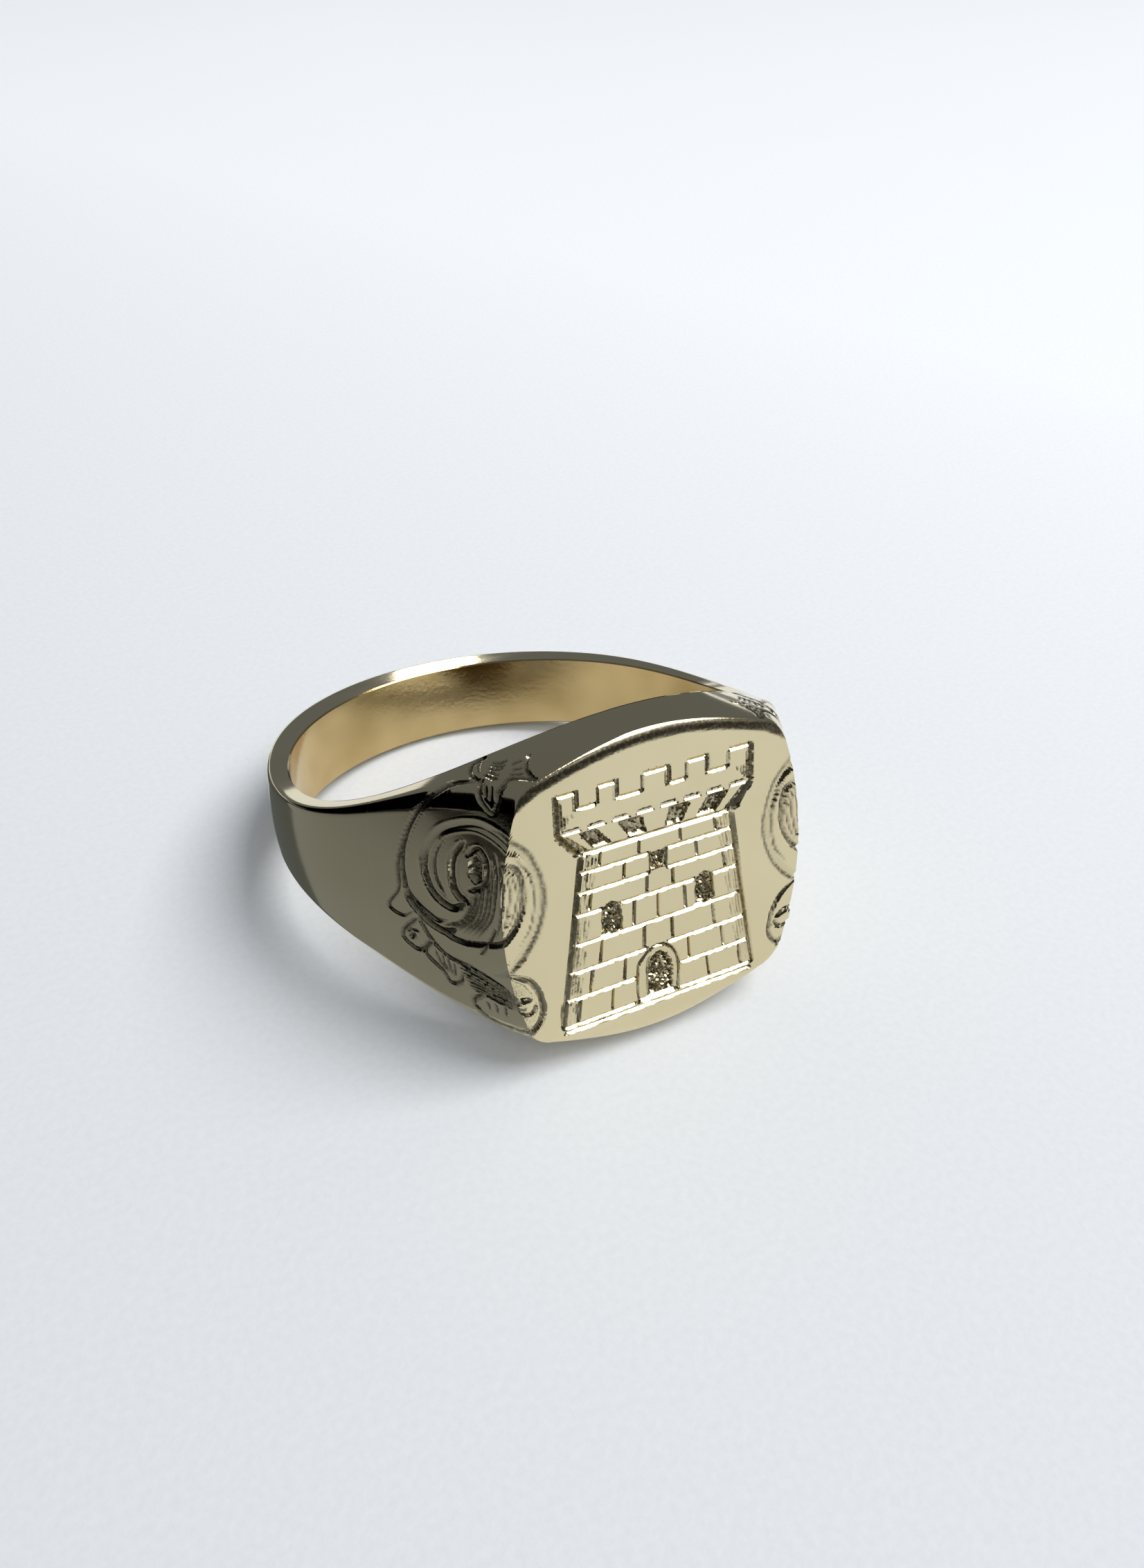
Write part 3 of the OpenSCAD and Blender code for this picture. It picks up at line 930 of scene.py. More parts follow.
@dataclass(frozen=True)
class Scroll:
    """The scrolled leaf over each side edge, laid flat: along from the face's edge, across the ring."""

    line: Cut = Cut(width=0.24, depth=0.12, lean=0.25, burr=0.02, taper=0.1, tone=1.0, wander=0.006)
    fine: Cut = Cut(width=0.13, depth=0.07, lean=0, burr=0.012, taper=0.2, tone=1.0, wander=0.004)

    def engrave(self, graver: Graver) -> None:
        """Cuts the whole scroll."""
        self._spiral(graver)
        self._shell(graver)
        self._stem(graver)
        self._foot(graver)
        self._leaf(graver)

    def _spiral(self, graver: Graver) -> None:
        """The rings of the big scroll."""
        ring = [
            (1.5, 0.75), (2.2, 0.35), (3.0, 0.7), (3.4, 1.5), (3.35, 2.3), (2.7, 3.2), (1.5, 3.65),
            (0.3, 3.4), (-0.8, 2.6), (-1.45, 1.2), (-1.3, -0.1), (-0.6, -1.1), (0.3, -1.8), (0.8, -1.95)
        ]
        graver.stroke(ring, replace(self.line, width=0.36, depth=0.09, lean=0.35, tone=0.15, burr=0.02))
        graver.stroke(
            [(0.9, 3.62), (0.2, 3.5), (-0.9, 2.68), (-1.58, 1.2), (-1.42, -0.12), (-0.7, -1.2), (0.25, -1.9)],
            replace(self.line, width=0.2, depth=0.05, lean=0.0, burr=0.0)
        )
        graver.stroke([(-0.3, 2.75), (-1.0, 1.9), (-1.2, 1.0), (-1.1, 0.0), (-0.5, -0.85)], self.fine)
        graver.stroke(ring[:5], replace(self.line, width=0.3, depth=0.16))
        graver.stroke(
            [
                (1.35, 5.28), (2.0, 5.1), (2.6, 4.85), (3.4, 4.15), (3.9, 3.5), (4.35, 2.3), (4.4, 1.2),
                (4.2, 0.4), (3.5, -0.15), (2.9, -0.35), (2.4, -0.2)
            ],
            self.line
        )
        graver.stroke(
            [(4.3, 2.8), (4.62, 1.5), (4.68, 0.4), (5.25, -0.45), (4.6, -0.7), (3.95, -0.25)],
            replace(self.fine, width=0.17, depth=0.09)
        )
        graver.stroke(
            [(4.35, 0.5), (4.1, 0.0), (3.5, -0.5), (2.7, -0.75), (2.1, -0.5)],
            replace(self.line, width=0.32, depth=0.18)
        )
        graver.stroke(
            [(1.75, 3.0), (2.15, 2.3), (2.15, 1.5), (1.9, 0.95), (1.35, 0.75)],
            replace(self.line, width=0.32, depth=0.16)
        )
        graver.stroke([(2.55, 3.0), (2.9, 2.2), (2.85, 1.4), (2.4, 0.7)], self.fine)

    def _shell(self, graver: Graver) -> None:
        """The fluted shell in the scroll and its punched eye."""
        crescent = [
            (0.15, 2.6), (-0.5, 2.2), (-0.8, 1.2), (-0.6, 0.3), (0.0, -0.4), (0.9, -0.75), (2.0, -0.95),
            (3.1, -0.7)
        ]
        graver.stroke(crescent, replace(self.line, width=0.26, depth=0.15))
        graver.hatch(
            [(0.2, 2.6), (0.0, 1.7), (0.05, 0.6), (0.3, -0.3)],
            [(-0.2, 2.3), (-0.55, 1.5), (-0.5, 0.8), (-0.2, 0.0)], 3, self.fine, 0.01
        )
        graver.hatch(
            [(0.45, 2.9), (0.3, 1.9), (0.45, 0.5), (1.2, -0.6)],
            [(1.3, 1.2), (1.45, 0.5), (1.9, -0.1), (2.7, -0.5)], 8,
            replace(self.fine, width=0.15, depth=0.08), 0.012
        )
        graver.sink(
            [(0.85, 1.75), (0.95, 2.45), (1.25, 2.65), (1.5, 2.4), (1.45, 1.8), (1.15, 1.55)], 0.16, 0.06,
            0.12, 1.0
        )
        graver.stroke(
            [(1.6, 2.5), (1.2, 2.85), (0.8, 2.55), (0.7, 1.95), (0.95, 1.45), (1.45, 1.25)],
            replace(self.line, width=0.26, depth=0.15)
        )
        graver.stroke([(0.3, 0.1), (0.6, -0.5), (1.15, -1.25)], replace(self.line, width=0.16))

    def _stem(self, graver: Graver) -> None:
        """The stem below the scroll with its two small leaves."""
        thin = replace(self.line, width=0.2, depth=0.11)
        graver.stroke([(3.9, -0.5), (3.4, -1.3), (2.9, -1.75), (2.4, -1.9), (1.6, -1.95)], thin)
        graver.stroke([(3.9, -0.6), (4.8, -1.5), (4.4, -1.95), (4.0, -1.95), (3.5, -1.4)], thin)
        graver.stroke([(4.15, -1.4), (4.45, -1.6)], replace(thin, width=0.26, depth=0.14), 4)
        graver.stroke([(3.9, -1.2), (4.3, -1.2), (4.5, -1.4)], self.fine, 4)
        graver.stroke(
            [(3.3, -1.4), (3.8, -1.9), (3.7, -2.2), (3.2, -2.6), (2.95, -3.05), (2.5, -2.9), (2.25, -2.4)],
            thin
        )
        graver.hatch(
            [(3.3, -1.7), (3.25, -2.1), (3.0, -2.55)], [(2.55, -2.05), (2.6, -2.4), (2.7, -2.75)], 4,
            self.fine, 0.01
        )

    def _foot(self, graver: Graver) -> None:
        """The lower scroll: a fan of lines that ends in a ball."""
        graver.hatch(
            [(2.5, -1.8), (1.5, -2.05), (0.5, -2.4), (-0.1, -2.85)],
            [(2.1, -3.0), (1.4, -3.15), (0.8, -3.3), (0.2, -3.4)], 8,
            replace(self.fine, width=0.15, depth=0.09), 0.015
        )
        ball = [
            (-0.25 + 0.36 * math.cos(k * math.pi / 6), -3.2 + 0.36 * math.sin(k * math.pi / 6))
            for k in range(12)
        ]
        graver.swell(ball, 0.12, 0.34)
        graver.stroke([*ball[6:], *ball[:2]], replace(self.line, width=0.16))
        graver.stroke(
            [
                (0.0, -1.75), (-0.6, -2.2), (-0.85, -2.9), (-0.7, -3.8), (0.0, -4.4), (0.8, -4.55),
                (1.6, -4.4), (2.1, -3.9), (2.15, -3.6), (1.8, -3.3), (1.2, -2.95)
            ],
            replace(self.line, width=0.22, depth=0.13)
        )
        graver.hatch([(0.7, -3.35), (0.8, -3.95)], [(1.5, -3.4), (1.5, -3.85)], 3, self.fine, 0.02)

    def _leaf(self, graver: Graver) -> None:
        """The leaf that folds over the crease onto the bevel."""
        rim = replace(self.line, width=0.2, depth=0.1, lean=0.0, burr=0.0)
        graver.stroke([(-0.8, 6.75), (-0.65, 6.5), (-0.55, 6.1), (-0.7, 5.6), (-0.95, 5.27)], rim)
        graver.stroke(
            [(-0.95, 5.27), (-0.5, 5.55), (-0.05, 5.68), (0.2, 5.55), (0.4, 5.25), (0.75, 4.75)], rim
        )
        graver.stroke(
            [(0.5, 4.9), (0.65, 4.5), (0.85, 4.2), (1.2, 4.45), (1.35, 4.75), (1.3, 5.2), (1.15, 5.35)], rim
        )
        graver.stroke(
            [(1.2, 6.6), (1.5, 6.45), (1.85, 6.1), (1.9, 5.8), (1.8, 5.5), (1.5, 5.3), (1.2, 5.35)], rim
        )
        graver.stroke([(1.5, 6.3), (1.55, 6.0), (1.45, 5.65)], self.fine)
        graver.hatch(
            [(0.15, 6.65), (0.6, 6.45), (1.0, 6.35)], [(0.55, 5.5), (0.9, 5.52), (1.25, 5.6)], 5,
            replace(self.fine, burr=0.0, width=0.14), 0.03
        )
        graver.hatch(
            [(-0.45, 6.5), (0.1, 6.4)], [(-0.5, 5.8), (0.1, 5.88)], 3,
            replace(self.fine, burr=0.0, width=0.14), 0.03
        )
        graver.hatch([(0.85, 5.1), (0.9, 4.6)], [(1.15, 5.1), (1.05, 4.7)], 2, self.fine, 0.02)


@dataclass(frozen=True)
class RestingPlace:
    """Where the ring's own frame lies in the shared frame."""

    centre: Vector
    axis: Vector

    @classmethod
    def of_hole(cls, record: dict) -> "RestingPlace":
        """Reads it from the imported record's finger hole."""
        hole = next(m for m in record["mounts"] if m["name"] == "finger_hole")
        return cls(Vector(hole["pos_m"]), Vector(hole["axis"]).normalized())

    def metres(self, points: np.ndarray) -> np.ndarray:
        """Points of the ring's frame in millimetres, as points of the shared frame in metres."""
        across = Vector((1, 0, 0))
        turn = np.array([across, self.axis.cross(across), self.axis], float)
        return points @ turn * MM + np.array(self.centre)


@dataclass
class RingMesh:
    """Turns a skin, with its engraving, into a mesh object."""

    place: RestingPlace
    finishes: dict[Zone, bpy.types.Material]
    crease: float = math.radians(30)

    def build(self, name: str, skin: Skin, height: np.ndarray | None = None, tone: np.ndarray | None = None,
              soft: np.ndarray | None = None) -> bpy.types.Object:
        """Makes one closed piece.

        Args:
            name: The piece's name.
            skin: Its grid.
            height: Height of the engraving at each point, in millimetres.
            tone: How dark the engraving is at each point.
            soft: Where the engraving is rounded and has no sharp edges.

        Returns:
            The new object, dressed in the finishes of its zones.
        """
        points = skin.points if height is None else skin.points + skin.normals() * height[..., None]
        columns, rows = skin.zone.shape
        index = np.arange(columns * rows).reshape(columns, rows)
        below = np.roll(index, -1, 1)
        quads = np.stack([index[:-1], below[:-1], below[1:], index[1:]], -1).reshape(-1, 4)
        zone = np.maximum(
            skin.zone, np.where(np.roll(skin.zone, -1, 1) == Zone.HOLE.value, 0, np.roll(skin.zone, -1, 1))
        )
        zone = np.where(
            (skin.zone == Zone.HOLE.value) | (np.roll(skin.zone, -1, 1) == Zone.HOLE.value), 0, zone
        )
        caps = [index[0][::-1], index[-1]]
        mesh = bpy.data.meshes.new(name)
        mesh.vertices.add(index.size)
        mesh.vertices.foreach_set("co", self.place.metres(points).astype(np.float32).ravel())
        corners = np.concatenate([quads.ravel(), *caps])
        mesh.loops.add(len(corners))
        mesh.loops.foreach_set("vertex_index", corners.astype(np.int32))
        starts = np.concatenate([np.arange(len(quads)) * 4, [len(quads) * 4, len(quads) * 4 + rows]])
        mesh.polygons.add(len(starts))
        mesh.polygons.foreach_set("loop_start", starts.astype(np.int32))
        slots = np.concatenate([zone[:-1].ravel(), [Zone.OUTSIDE.value] * 2])
        mesh.update(calc_edges=True)
        mesh.polygons.foreach_set("material_index", slots.astype(np.int32))
        mesh.shade_smooth()
        mesh.set_sharp_from_angle(angle=self.crease)
        if soft is not None:
            self._soften(mesh, soft.ravel())
        mark = mesh.attributes.new("cut", "FLOAT", "POINT")
        mark.data.foreach_set(
            "value", (np.zeros(index.size) if tone is None else tone.ravel()).astype(np.float32)
        )
        for each in Zone:
            mesh.materials.append(self.finishes[each])
        mesh.validate()
        return put_in_scene(name, mesh)

    @staticmethod
    def _soften(mesh: bpy.types.Mesh, soft: np.ndarray) -> None:
        """Takes the sharp edges off between soft points."""
        ends = np.zeros(len(mesh.edges) * 2, np.int32)
        mesh.edges.foreach_get("vertices", ends)
        marks = mesh.attributes["sharp_edge"]
        sharp = np.zeros(len(mesh.edges), bool)
        marks.data.foreach_get("value", sharp)
        marks.data.foreach_set("value", sharp & ~soft[ends.reshape(-1, 2)].all(1))


def put_in_scene(name: str, data: bpy.types.ID) -> bpy.types.Object:
    """Makes an object of a mesh, lamp or camera and puts it in the scene."""
    made = bpy.data.objects.new(name, data)
    bpy.context.scene.collection.objects.link(made)
    return made


def hand_over(piece: bpy.types.Object, node: str) -> None:
    """Lets a piece stand for its solid, which it hides, and ride with the ring's root.

    Args:
        piece: The visual piece.
        node: The solid's name.
    """
    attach(piece, "root")
    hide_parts(node)
    LOG.info("%s stands for %s, %d points", piece.name, node, len(piece.data.vertices))


class Side(Enum):
    """The two sides of the ring, seen from in front of the face."""

    LEFT = -1
    RIGHT = 1


@dataclass
class SignetHead:
    """The head: a cushion face with the castle, and flanks with a scroll on each."""

    maker: SkinMaker
    castle: Castle = field(default_factory=Castle)
    scroll: Scroll = field(default_factory=Scroll)
    face_columns: int = 92
    flank_pitch: float = 0.08
    row_pitch: float = 0.06
    # Where the painted dark reflection lies on the rolled upper edge, by how far the roll drops.
    black_from: float = 0.006
    black_to: float = 0.088
    black_fade: float = 0.012

    def weave(self) -> Weave:
        """The head's grid, with rows on the castle's level lines."""
        return Weave(self.flank_pitch, bevel_rows=22, bend_rows=11, hole_rows=5, height_rows=0,
                     heights=self.castle.rows(self.row_pitch, self.maker.field_z))

    def engrave(self, skin: Skin) -> tuple[np.ndarray, np.ndarray]:
        """Cuts the castle and both scrolls.

        Args:
            skin: The head's grid.

        Returns:
            Height and tone at each point.
        """
        height, tone = np.zeros(skin.zone.shape), np.zeros(skin.zone.shape)
        face = (skin.zone == Zone.FACE.value) & (np.abs(skin.points[..., 0]) < self.maker.field_x)
        jobs = [(self.castle, face, skin.points[..., 0], skin.points[..., 2], 3)]
        for side in Side:
            there = (skin.zone != Zone.HOLE.value) & (np.sign(skin.points[..., 0]) == side.value) & (
                skin.along > -3
            )
            jobs.append((self.scroll, there, skin.along, skin.across, 11 + side.value))
        for pattern, there, along, across, seed in jobs:
            graver = Graver(np.stack([along[there], across[there]], -1), seed)
            pattern.engrave(graver)
            new = graver.height
            height[there] = np.where(np.abs(new) > np.abs(height[there]), new, height[there])
            tone[there] = np.maximum(tone[there], graver.tone)
        # The rolled upper edge gets a painted dark reflection on top of the cuts' tone.
        return height, np.maximum(tone, self._painted_edge_reflection(skin))

    def _painted_edge_reflection(self, skin: Skin) -> np.ndarray:
        """Painted dark reflection along the foot of the rolled upper edge: how dark the colour is painted
        there.
        """
        rolled = (skin.zone == Zone.FACE.value) & (skin.points[..., 2] > self.maker.roll_from)
        drop = np.where(rolled, skin.points[..., 1] + self.maker.form.reach, 0)
        return np.clip(drop / self.black_from, 0, 1) * np.clip((self.black_to - drop) / self.black_fade, 0, 1)

    def build(self, mesh: RingMesh) -> None:
        """Builds and dresses the head."""
        half = np.linspace(0, 1, self.face_columns)
        skin = self.maker.head(self.maker.form.head_joint, half, self.weave(), self.castle.walls)
        height, tone = self.engrave(skin)
        soft = (np.abs(height) > 0) & (np.abs(skin.along) > 1e-4) & (
            np.abs(skin.points[..., 0]) > self.maker.field_x
        )
        hand_over(mesh.build("engraved_head", skin, height, tone, soft), "signet_head")


@dataclass
class Shoulder:
    """A plain shoulder that narrows from the head to the band."""

    maker: SkinMaker
    side: Side
    weave: Weave = Weave(0.16, bevel_rows=14, bend_rows=9, hole_rows=5, height_rows=44)

    def build(self, mesh: RingMesh) -> None:
        """Builds and dresses the shoulder."""
        form = self.maker.form
        first, last = form.head_joint + form.solder_angle, form.band_joint
        angles = np.linspace(first, last, round((last - first) * form.bore / self.weave.pitch) + 1)
        angles = angles if self.side is Side.RIGHT else -angles[::-1]
        node = f"{self.side.name.lower()}_shoulder"
        hand_over(mesh.build(f"polished_{node}", self.maker.stretch(angles, self.weave)), node)


@dataclass
class BackBand:
    """The plain band round the back of the finger."""

    maker: SkinMaker
    weave: Weave = Weave(0.2, bevel_rows=12, bend_rows=9, hole_rows=5, height_rows=26)

    def build(self, mesh: RingMesh) -> None:
        """Builds and dresses the band."""
        form = self.maker.form
        first = form.band_joint + form.solder_angle
        angles = np.linspace(
            first, 2 * math.pi - first, round(2 * (math.pi - first) * form.bore / self.weave.pitch) + 1
        )
        hand_over(
            mesh.build("polished_back_band", self.maker.stretch(angles, self.weave)), "back_band"
        )


@dataclass
class SolderJoint:
    """One thin soldered joint, filed flush with the metal on both sides."""

    maker: SkinMaker
    side: Side
    joins: str
    weave: Weave = Weave(0.05, bevel_rows=14, bend_rows=9, hole_rows=5, height_rows=44)

    def build(self, mesh: RingMesh) -> None:
        """Builds and dresses the joint."""
        form = self.maker.form
        first = form.head_joint if self.joins == "head" else form.band_joint
        angles = np.linspace(first, first + form.solder_angle, 3)
        angles = angles if self.side is Side.RIGHT else -angles[::-1]
        node = f"{self.side.name.lower()}_{self.joins}_solder"
        hand_over(mesh.build(f"filed_{node}", self.maker.stretch(angles, self.weave)), node)


class NodeGroup:
    """A shader node group under construction, with named sockets."""

    def __init__(
        self, name: str, inputs: dict[str, float | tuple[float, ...]], outputs: dict[str, str]
    ) -> None:
        """Makes the group and its sockets.

        Args:
            name: The group's name.
            inputs: Each input's name with its usual value; a tuple of four is a colour, of three a vector.
            outputs: Each output's name with its kind.
        """
        self.tree = bpy.data.node_groups.new(name, "ShaderNodeTree")
        for title, usual in inputs.items():
            kind = "NodeSocketFloat" if isinstance(
                usual, float
            ) else "NodeSocketColor" if len(usual) == 4 else "NodeSocketVector"
            self.tree.interface.new_socket(title, in_out="INPUT", socket_type=kind).default_value = usual
        for title, kind in outputs.items():
            self.tree.interface.new_socket(title, in_out="OUTPUT", socket_type=kind)
        self.start, self.end = self.node("NodeGroupInput"), self.node("NodeGroupOutput")

    def node(self, kind: str, **settings: object) -> bpy.types.Node:
        """Adds a node and sets its properties."""
        made = self.tree.nodes.new(kind)
        for name, value in settings.items():
            setattr(made, name, value)
        return made

    def join(self, source: bpy.types.NodeSocket, target: bpy.types.NodeSocket) -> None:
        """Links two sockets."""
        self.tree.links.new(source, target)

    def noise(
        self, vector: bpy.types.NodeSocket, scale: float | bpy.types.NodeSocket, detail: float = 3.0
    ) -> bpy.types.NodeSocket:
        """Adds a noise texture and returns its value."""
        made = self.node("ShaderNodeTexNoise")
        made.inputs["Detail"].default_value = detail
        self.join(vector, made.inputs["Vector"])
        if isinstance(scale, float):
            made.inputs["Scale"].default_value = scale
        else:
            self.join(scale, made.inputs["Scale"])
        return made.outputs["Fac"]

    def math(
        self, operation: str, *values: float | bpy.types.NodeSocket, clamp: bool = False
    ) -> bpy.types.NodeSocket:
        """Adds a maths node and returns its value."""
        made = self.node("ShaderNodeMath", operation=operation, use_clamp=clamp)
        for socket, value in zip(made.inputs, values):
            if isinstance(value, float):
                socket.default_value = value
            else:
                self.join(value, socket)
        return made.outputs[0]

    def blend(
        self, share: bpy.types.NodeSocket, first: bpy.types.NodeSocket, second: bpy.types.NodeSocket
    ) -> bpy.types.NodeSocket:
        """Mixes two colours and returns the result."""
        made = self.node("ShaderNodeMix", data_type="RGBA")
        self.join(share, made.inputs[MIX_SHARE])
        self.join(first, made.inputs[MIX_FIRST])
        self.join(second, made.inputs[MIX_SECOND])
        return made.outputs[MIX_RESULT]


def handling_group() -> bpy.types.NodeTree:
    """Slow variation of the metal's colour and polish, and the fine marks of the polishing cloth.

    Returns:
        The group: Color, Roughness and Height.
    """
    g = NodeGroup(
        "handled_gold",
        {
            "Vector": (0.0, 0.0, 0.0), "Light": (0.9, 0.8, 0.6, 1.0), "Deep": (0.8, 0.7, 0.5, 1.0),
            "Smooth": 0.15, "Dull": 0.3, "Grain Size": 8.0, "Mark Size": 3.0
        },
        {"Color": "NodeSocketColor", "Roughness": "NodeSocketFloat", "Height": "NodeSocketFloat"}
    )
    vector = g.start.outputs["Vector"]
    cloud = g.noise(vector, 0.22, 2.0)
    grain = g.noise(vector, g.start.outputs["Grain Size"], 4.0)
    stretch = g.node("ShaderNodeMapping")
    stretch.inputs["Scale"].default_value = (0.35, 1.0, 4.5)
    stretch.inputs["Rotation"].default_value = (0.2, 0.3, 0.35)
    g.join(vector, stretch.inputs["Vector"])
    marks = g.noise(stretch.outputs["Vector"], g.start.outputs["Mark Size"], 5.0)
    share = g.math("MULTIPLY_ADD", g.math("SUBTRACT", cloud, 0.5), 2.4, 0.5, clamp=True)
    g.join(g.blend(share, g.start.outputs["Light"], g.start.outputs["Deep"]), g.end.inputs["Color"])
    worn = g.math(
        "MULTIPLY_ADD", g.math("SUBTRACT", marks, 0.5), 1.6, g.math("MULTIPLY_ADD", share, 0.4, 0.3),
        clamp=True
    )
    spread = g.math("SUBTRACT", g.start.outputs["Dull"], g.start.outputs["Smooth"])
    g.join(g.math("MULTIPLY_ADD", worn, spread, g.start.outputs["Smooth"]), g.end.inputs["Roughness"])
    g.join(
        g.math("ADD", g.math("MULTIPLY", grain, 0.6), g.math("MULTIPLY", marks, 0.4)), g.end.inputs["Height"]
    )
    return g.tree


def graving_group() -> bpy.types.NodeTree:
    """Painted shade in the graver's cuts, with oxidised dirt: darker, rougher metal there, with bright torn
    specks where the darkening is left off.

    Returns:
        The group: Color and Roughness.
    """
    g = NodeGroup(
        "graver_cuts",
        {
            "Vector": (0.0, 0.0, 0.0), "Cut": 0.0, "Color": (0.9, 0.8, 0.6, 1.0),
            "Cut Color": (0.3, 0.25, 0.16, 1.0), "Darkness": 0.7, "Roughness": 0.2, "Cut Roughness": 0.3
        },
        {"Color": "NodeSocketColor", "Roughness": "NodeSocketFloat"}
    )
    torn = g.noise(g.start.outputs["Vector"], 9.0, 3.0)
    speck = g.math("MULTIPLY_ADD", g.math("SUBTRACT", torn, 0.5), -2.2, 0.9, clamp=True)
    # Painted shade with oxidised dirt: the cut mask darkens the colour toward the cut colour.
    mask = g.math(
        "MULTIPLY", g.math("MULTIPLY", g.start.outputs["Cut"], g.start.outputs["Darkness"]), speck, clamp=True
    )
    g.join(g.blend(mask, g.start.outputs["Color"], g.start.outputs["Cut Color"]), g.end.inputs["Color"])
    rise = g.math("SUBTRACT", g.start.outputs["Cut Roughness"], g.start.outputs["Roughness"])
    share = g.math("MULTIPLY", g.start.outputs["Cut"], 1.0, clamp=True)
    g.join(g.math("MULTIPLY_ADD", share, rise, g.start.outputs["Roughness"]), g.end.inputs["Roughness"])
    return g.tree


@dataclass(frozen=True)
class GoldFinish:
    """One finish of the pale gold, from mirror polish to satin."""

    name: str
    light: Colour
    deep: Colour
    smooth: float
    dull: float
    grain_size: float
    mark_size: float
    bump: float
    # Colour of the cuts: painted shade in the grooves together with oxidised dirt.
    cut_color: Colour = (0.2, 0.17, 0.11)
    darkness: float = 0.75
    cut_roughness: float = 0.28

    def material(self, groups: dict[str, bpy.types.NodeTree]) -> bpy.types.Material:
        """Builds the material.

        Args:
            groups: The shared node groups by name.

        Returns:
            The material.
        """
        made = bpy.data.materials.new(self.name)
        made.use_nodes = True
        tree = made.node_tree
        metal = tree.nodes["Principled BSDF"]
        metal.inputs["Metallic"].default_value = 1.0
        place = tree.nodes.new("ShaderNodeTexCoord")
        size = tree.nodes.new("ShaderNodeMapping")
        size.inputs["Scale"].default_value = (1 / MM,) * 3
        tree.links.new(place.outputs["Object"], size.inputs["Vector"])
        handled, graved = (tree.nodes.new("ShaderNodeGroup") for _ in range(2))
        handled.node_tree, graved.node_tree = groups["handled"], groups["graved"]
        cut = tree.nodes.new("ShaderNodeAttribute")
        cut.attribute_name = "cut"
        bump = tree.nodes.new("ShaderNodeBump")
        bump.inputs["Strength"].default_value = 1.0
        bump.inputs["Distance"].default_value = self.bump * MM
        for title, value in (
            ("Light", (*self.light, 1)), ("Deep", (*self.deep, 1)), ("Smooth", self.smooth),
            ("Dull", self.dull), ("Grain Size", self.grain_size), ("Mark Size", self.mark_size)
        ):
            handled.inputs[title].default_value = value
        for title, value in (
            ("Cut Color", (*self.cut_color, 1)), ("Darkness", self.darkness),
            ("Cut Roughness", self.cut_roughness)
        ):
            graved.inputs[title].default_value = value
        link_all(
            tree, (size.outputs["Vector"], handled.inputs["Vector"]),
            (size.outputs["Vector"], graved.inputs["Vector"]), (cut.outputs["Fac"], graved.inputs["Cut"]),
            (handled.outputs["Color"], graved.inputs["Color"]),
            (handled.outputs["Roughness"], graved.inputs["Roughness"]),
            (graved.outputs["Color"], metal.inputs["Base Color"]),
            (graved.outputs["Roughness"], metal.inputs["Roughness"]),
            (handled.outputs["Height"], bump.inputs["Height"]),
            (bump.outputs["Normal"], metal.inputs["Normal"])
        )
        return made


@dataclass(frozen=True)
class GoldWardrobe:
    """The finishes of each part of the ring's skin."""

    # The hole's gold is darker and browner than the outside's: painted shade and dim painted reflections
    # inside the finger hole.
    hole: GoldFinish = GoldFinish(
        "worn_hole_gold", light=(0.67, 0.5, 0.24), deep=(0.4, 0.28, 0.11), smooth=0.07, dull=0.17,
        grain_size=5.0, mark_size=0.5, bump=0.006
    )
    bevel: GoldFinish = GoldFinish(
        "polished_bevel_gold", light=(0.84, 0.745, 0.5), deep=(0.79, 0.69, 0.45), smooth=0.05, dull=0.12,
        grain_size=6.0, mark_size=1.2, bump=0.0012, cut_color=(0.09, 0.08, 0.055), darkness=0.92
    )
    face: GoldFinish = GoldFinish(
        "satin_face_gold", light=(0.77, 0.67, 0.43), deep=(0.73, 0.63, 0.395), smooth=0.06, dull=0.14,
        grain_size=8.0, mark_size=2.4, bump=0.009, cut_color=(0.12, 0.1, 0.07), darkness=0.88
    )
    outside: GoldFinish = GoldFinish(
        "polished_flank_gold", light=(0.84, 0.745, 0.5), deep=(0.79, 0.69, 0.45), smooth=0.09, dull=0.17,
        grain_size=7.0, mark_size=1.6, bump=0.0018, cut_color=(0.09, 0.08, 0.055), darkness=0.92
    )
    solder: GoldFinish = GoldFinish(
        "filed_solder_gold", light=(0.85, 0.76, 0.52), deep=(0.8, 0.705, 0.465), smooth=0.1, dull=0.18,
        grain_size=7.0, mark_size=1.6, bump=0.0018
    )

    def dress(self) -> tuple[dict[Zone, bpy.types.Material], dict[Zone, bpy.types.Material]]:
        """Builds every finish.

        Returns:
            The materials by zone for the gold pieces, and for the solder.
        """
        groups = {"handled": handling_group(), "graved": graving_group()}
        gold = {Zone.HOLE: self.hole.material(groups), Zone.BEVEL: self.bevel.material(groups),
                Zone.FACE: self.face.material(groups), Zone.OUTSIDE: self.outside.material(groups)}
        filed = self.solder.material(groups)
        return gold, {**gold, Zone.BEVEL: filed, Zone.OUTSIDE: filed}


@dataclass(frozen=True)
class Softbox:
    """One soft light that faces the ring."""

    name: str
    bearing: float
    height: float
    distance: float
    size: tuple[float, float]
    power: float
    color: Colour = (1.0, 1.0, 1.0)
    mirrored: bool = True

    def hang(self, aim: Vector) -> None:
        """Hangs it round the ring.

        Args:
            aim: The point it faces.
        """
        lamp = bpy.data.lights.new(self.name, "AREA")
        lamp.shape, lamp.size, lamp.size_y = "RECTANGLE", *self.size
        lamp.energy, lamp.color = self.power, self.color
        piece = put_in_scene(self.name, lamp)
        way = direction(self.bearing, self.height)
        piece.location = aim + way * self.distance
        piece.rotation_mode = "QUATERNION"
        piece.rotation_quaternion = way.to_track_quat("Z", "Y")
        piece.visible_glossy = self.mirrored


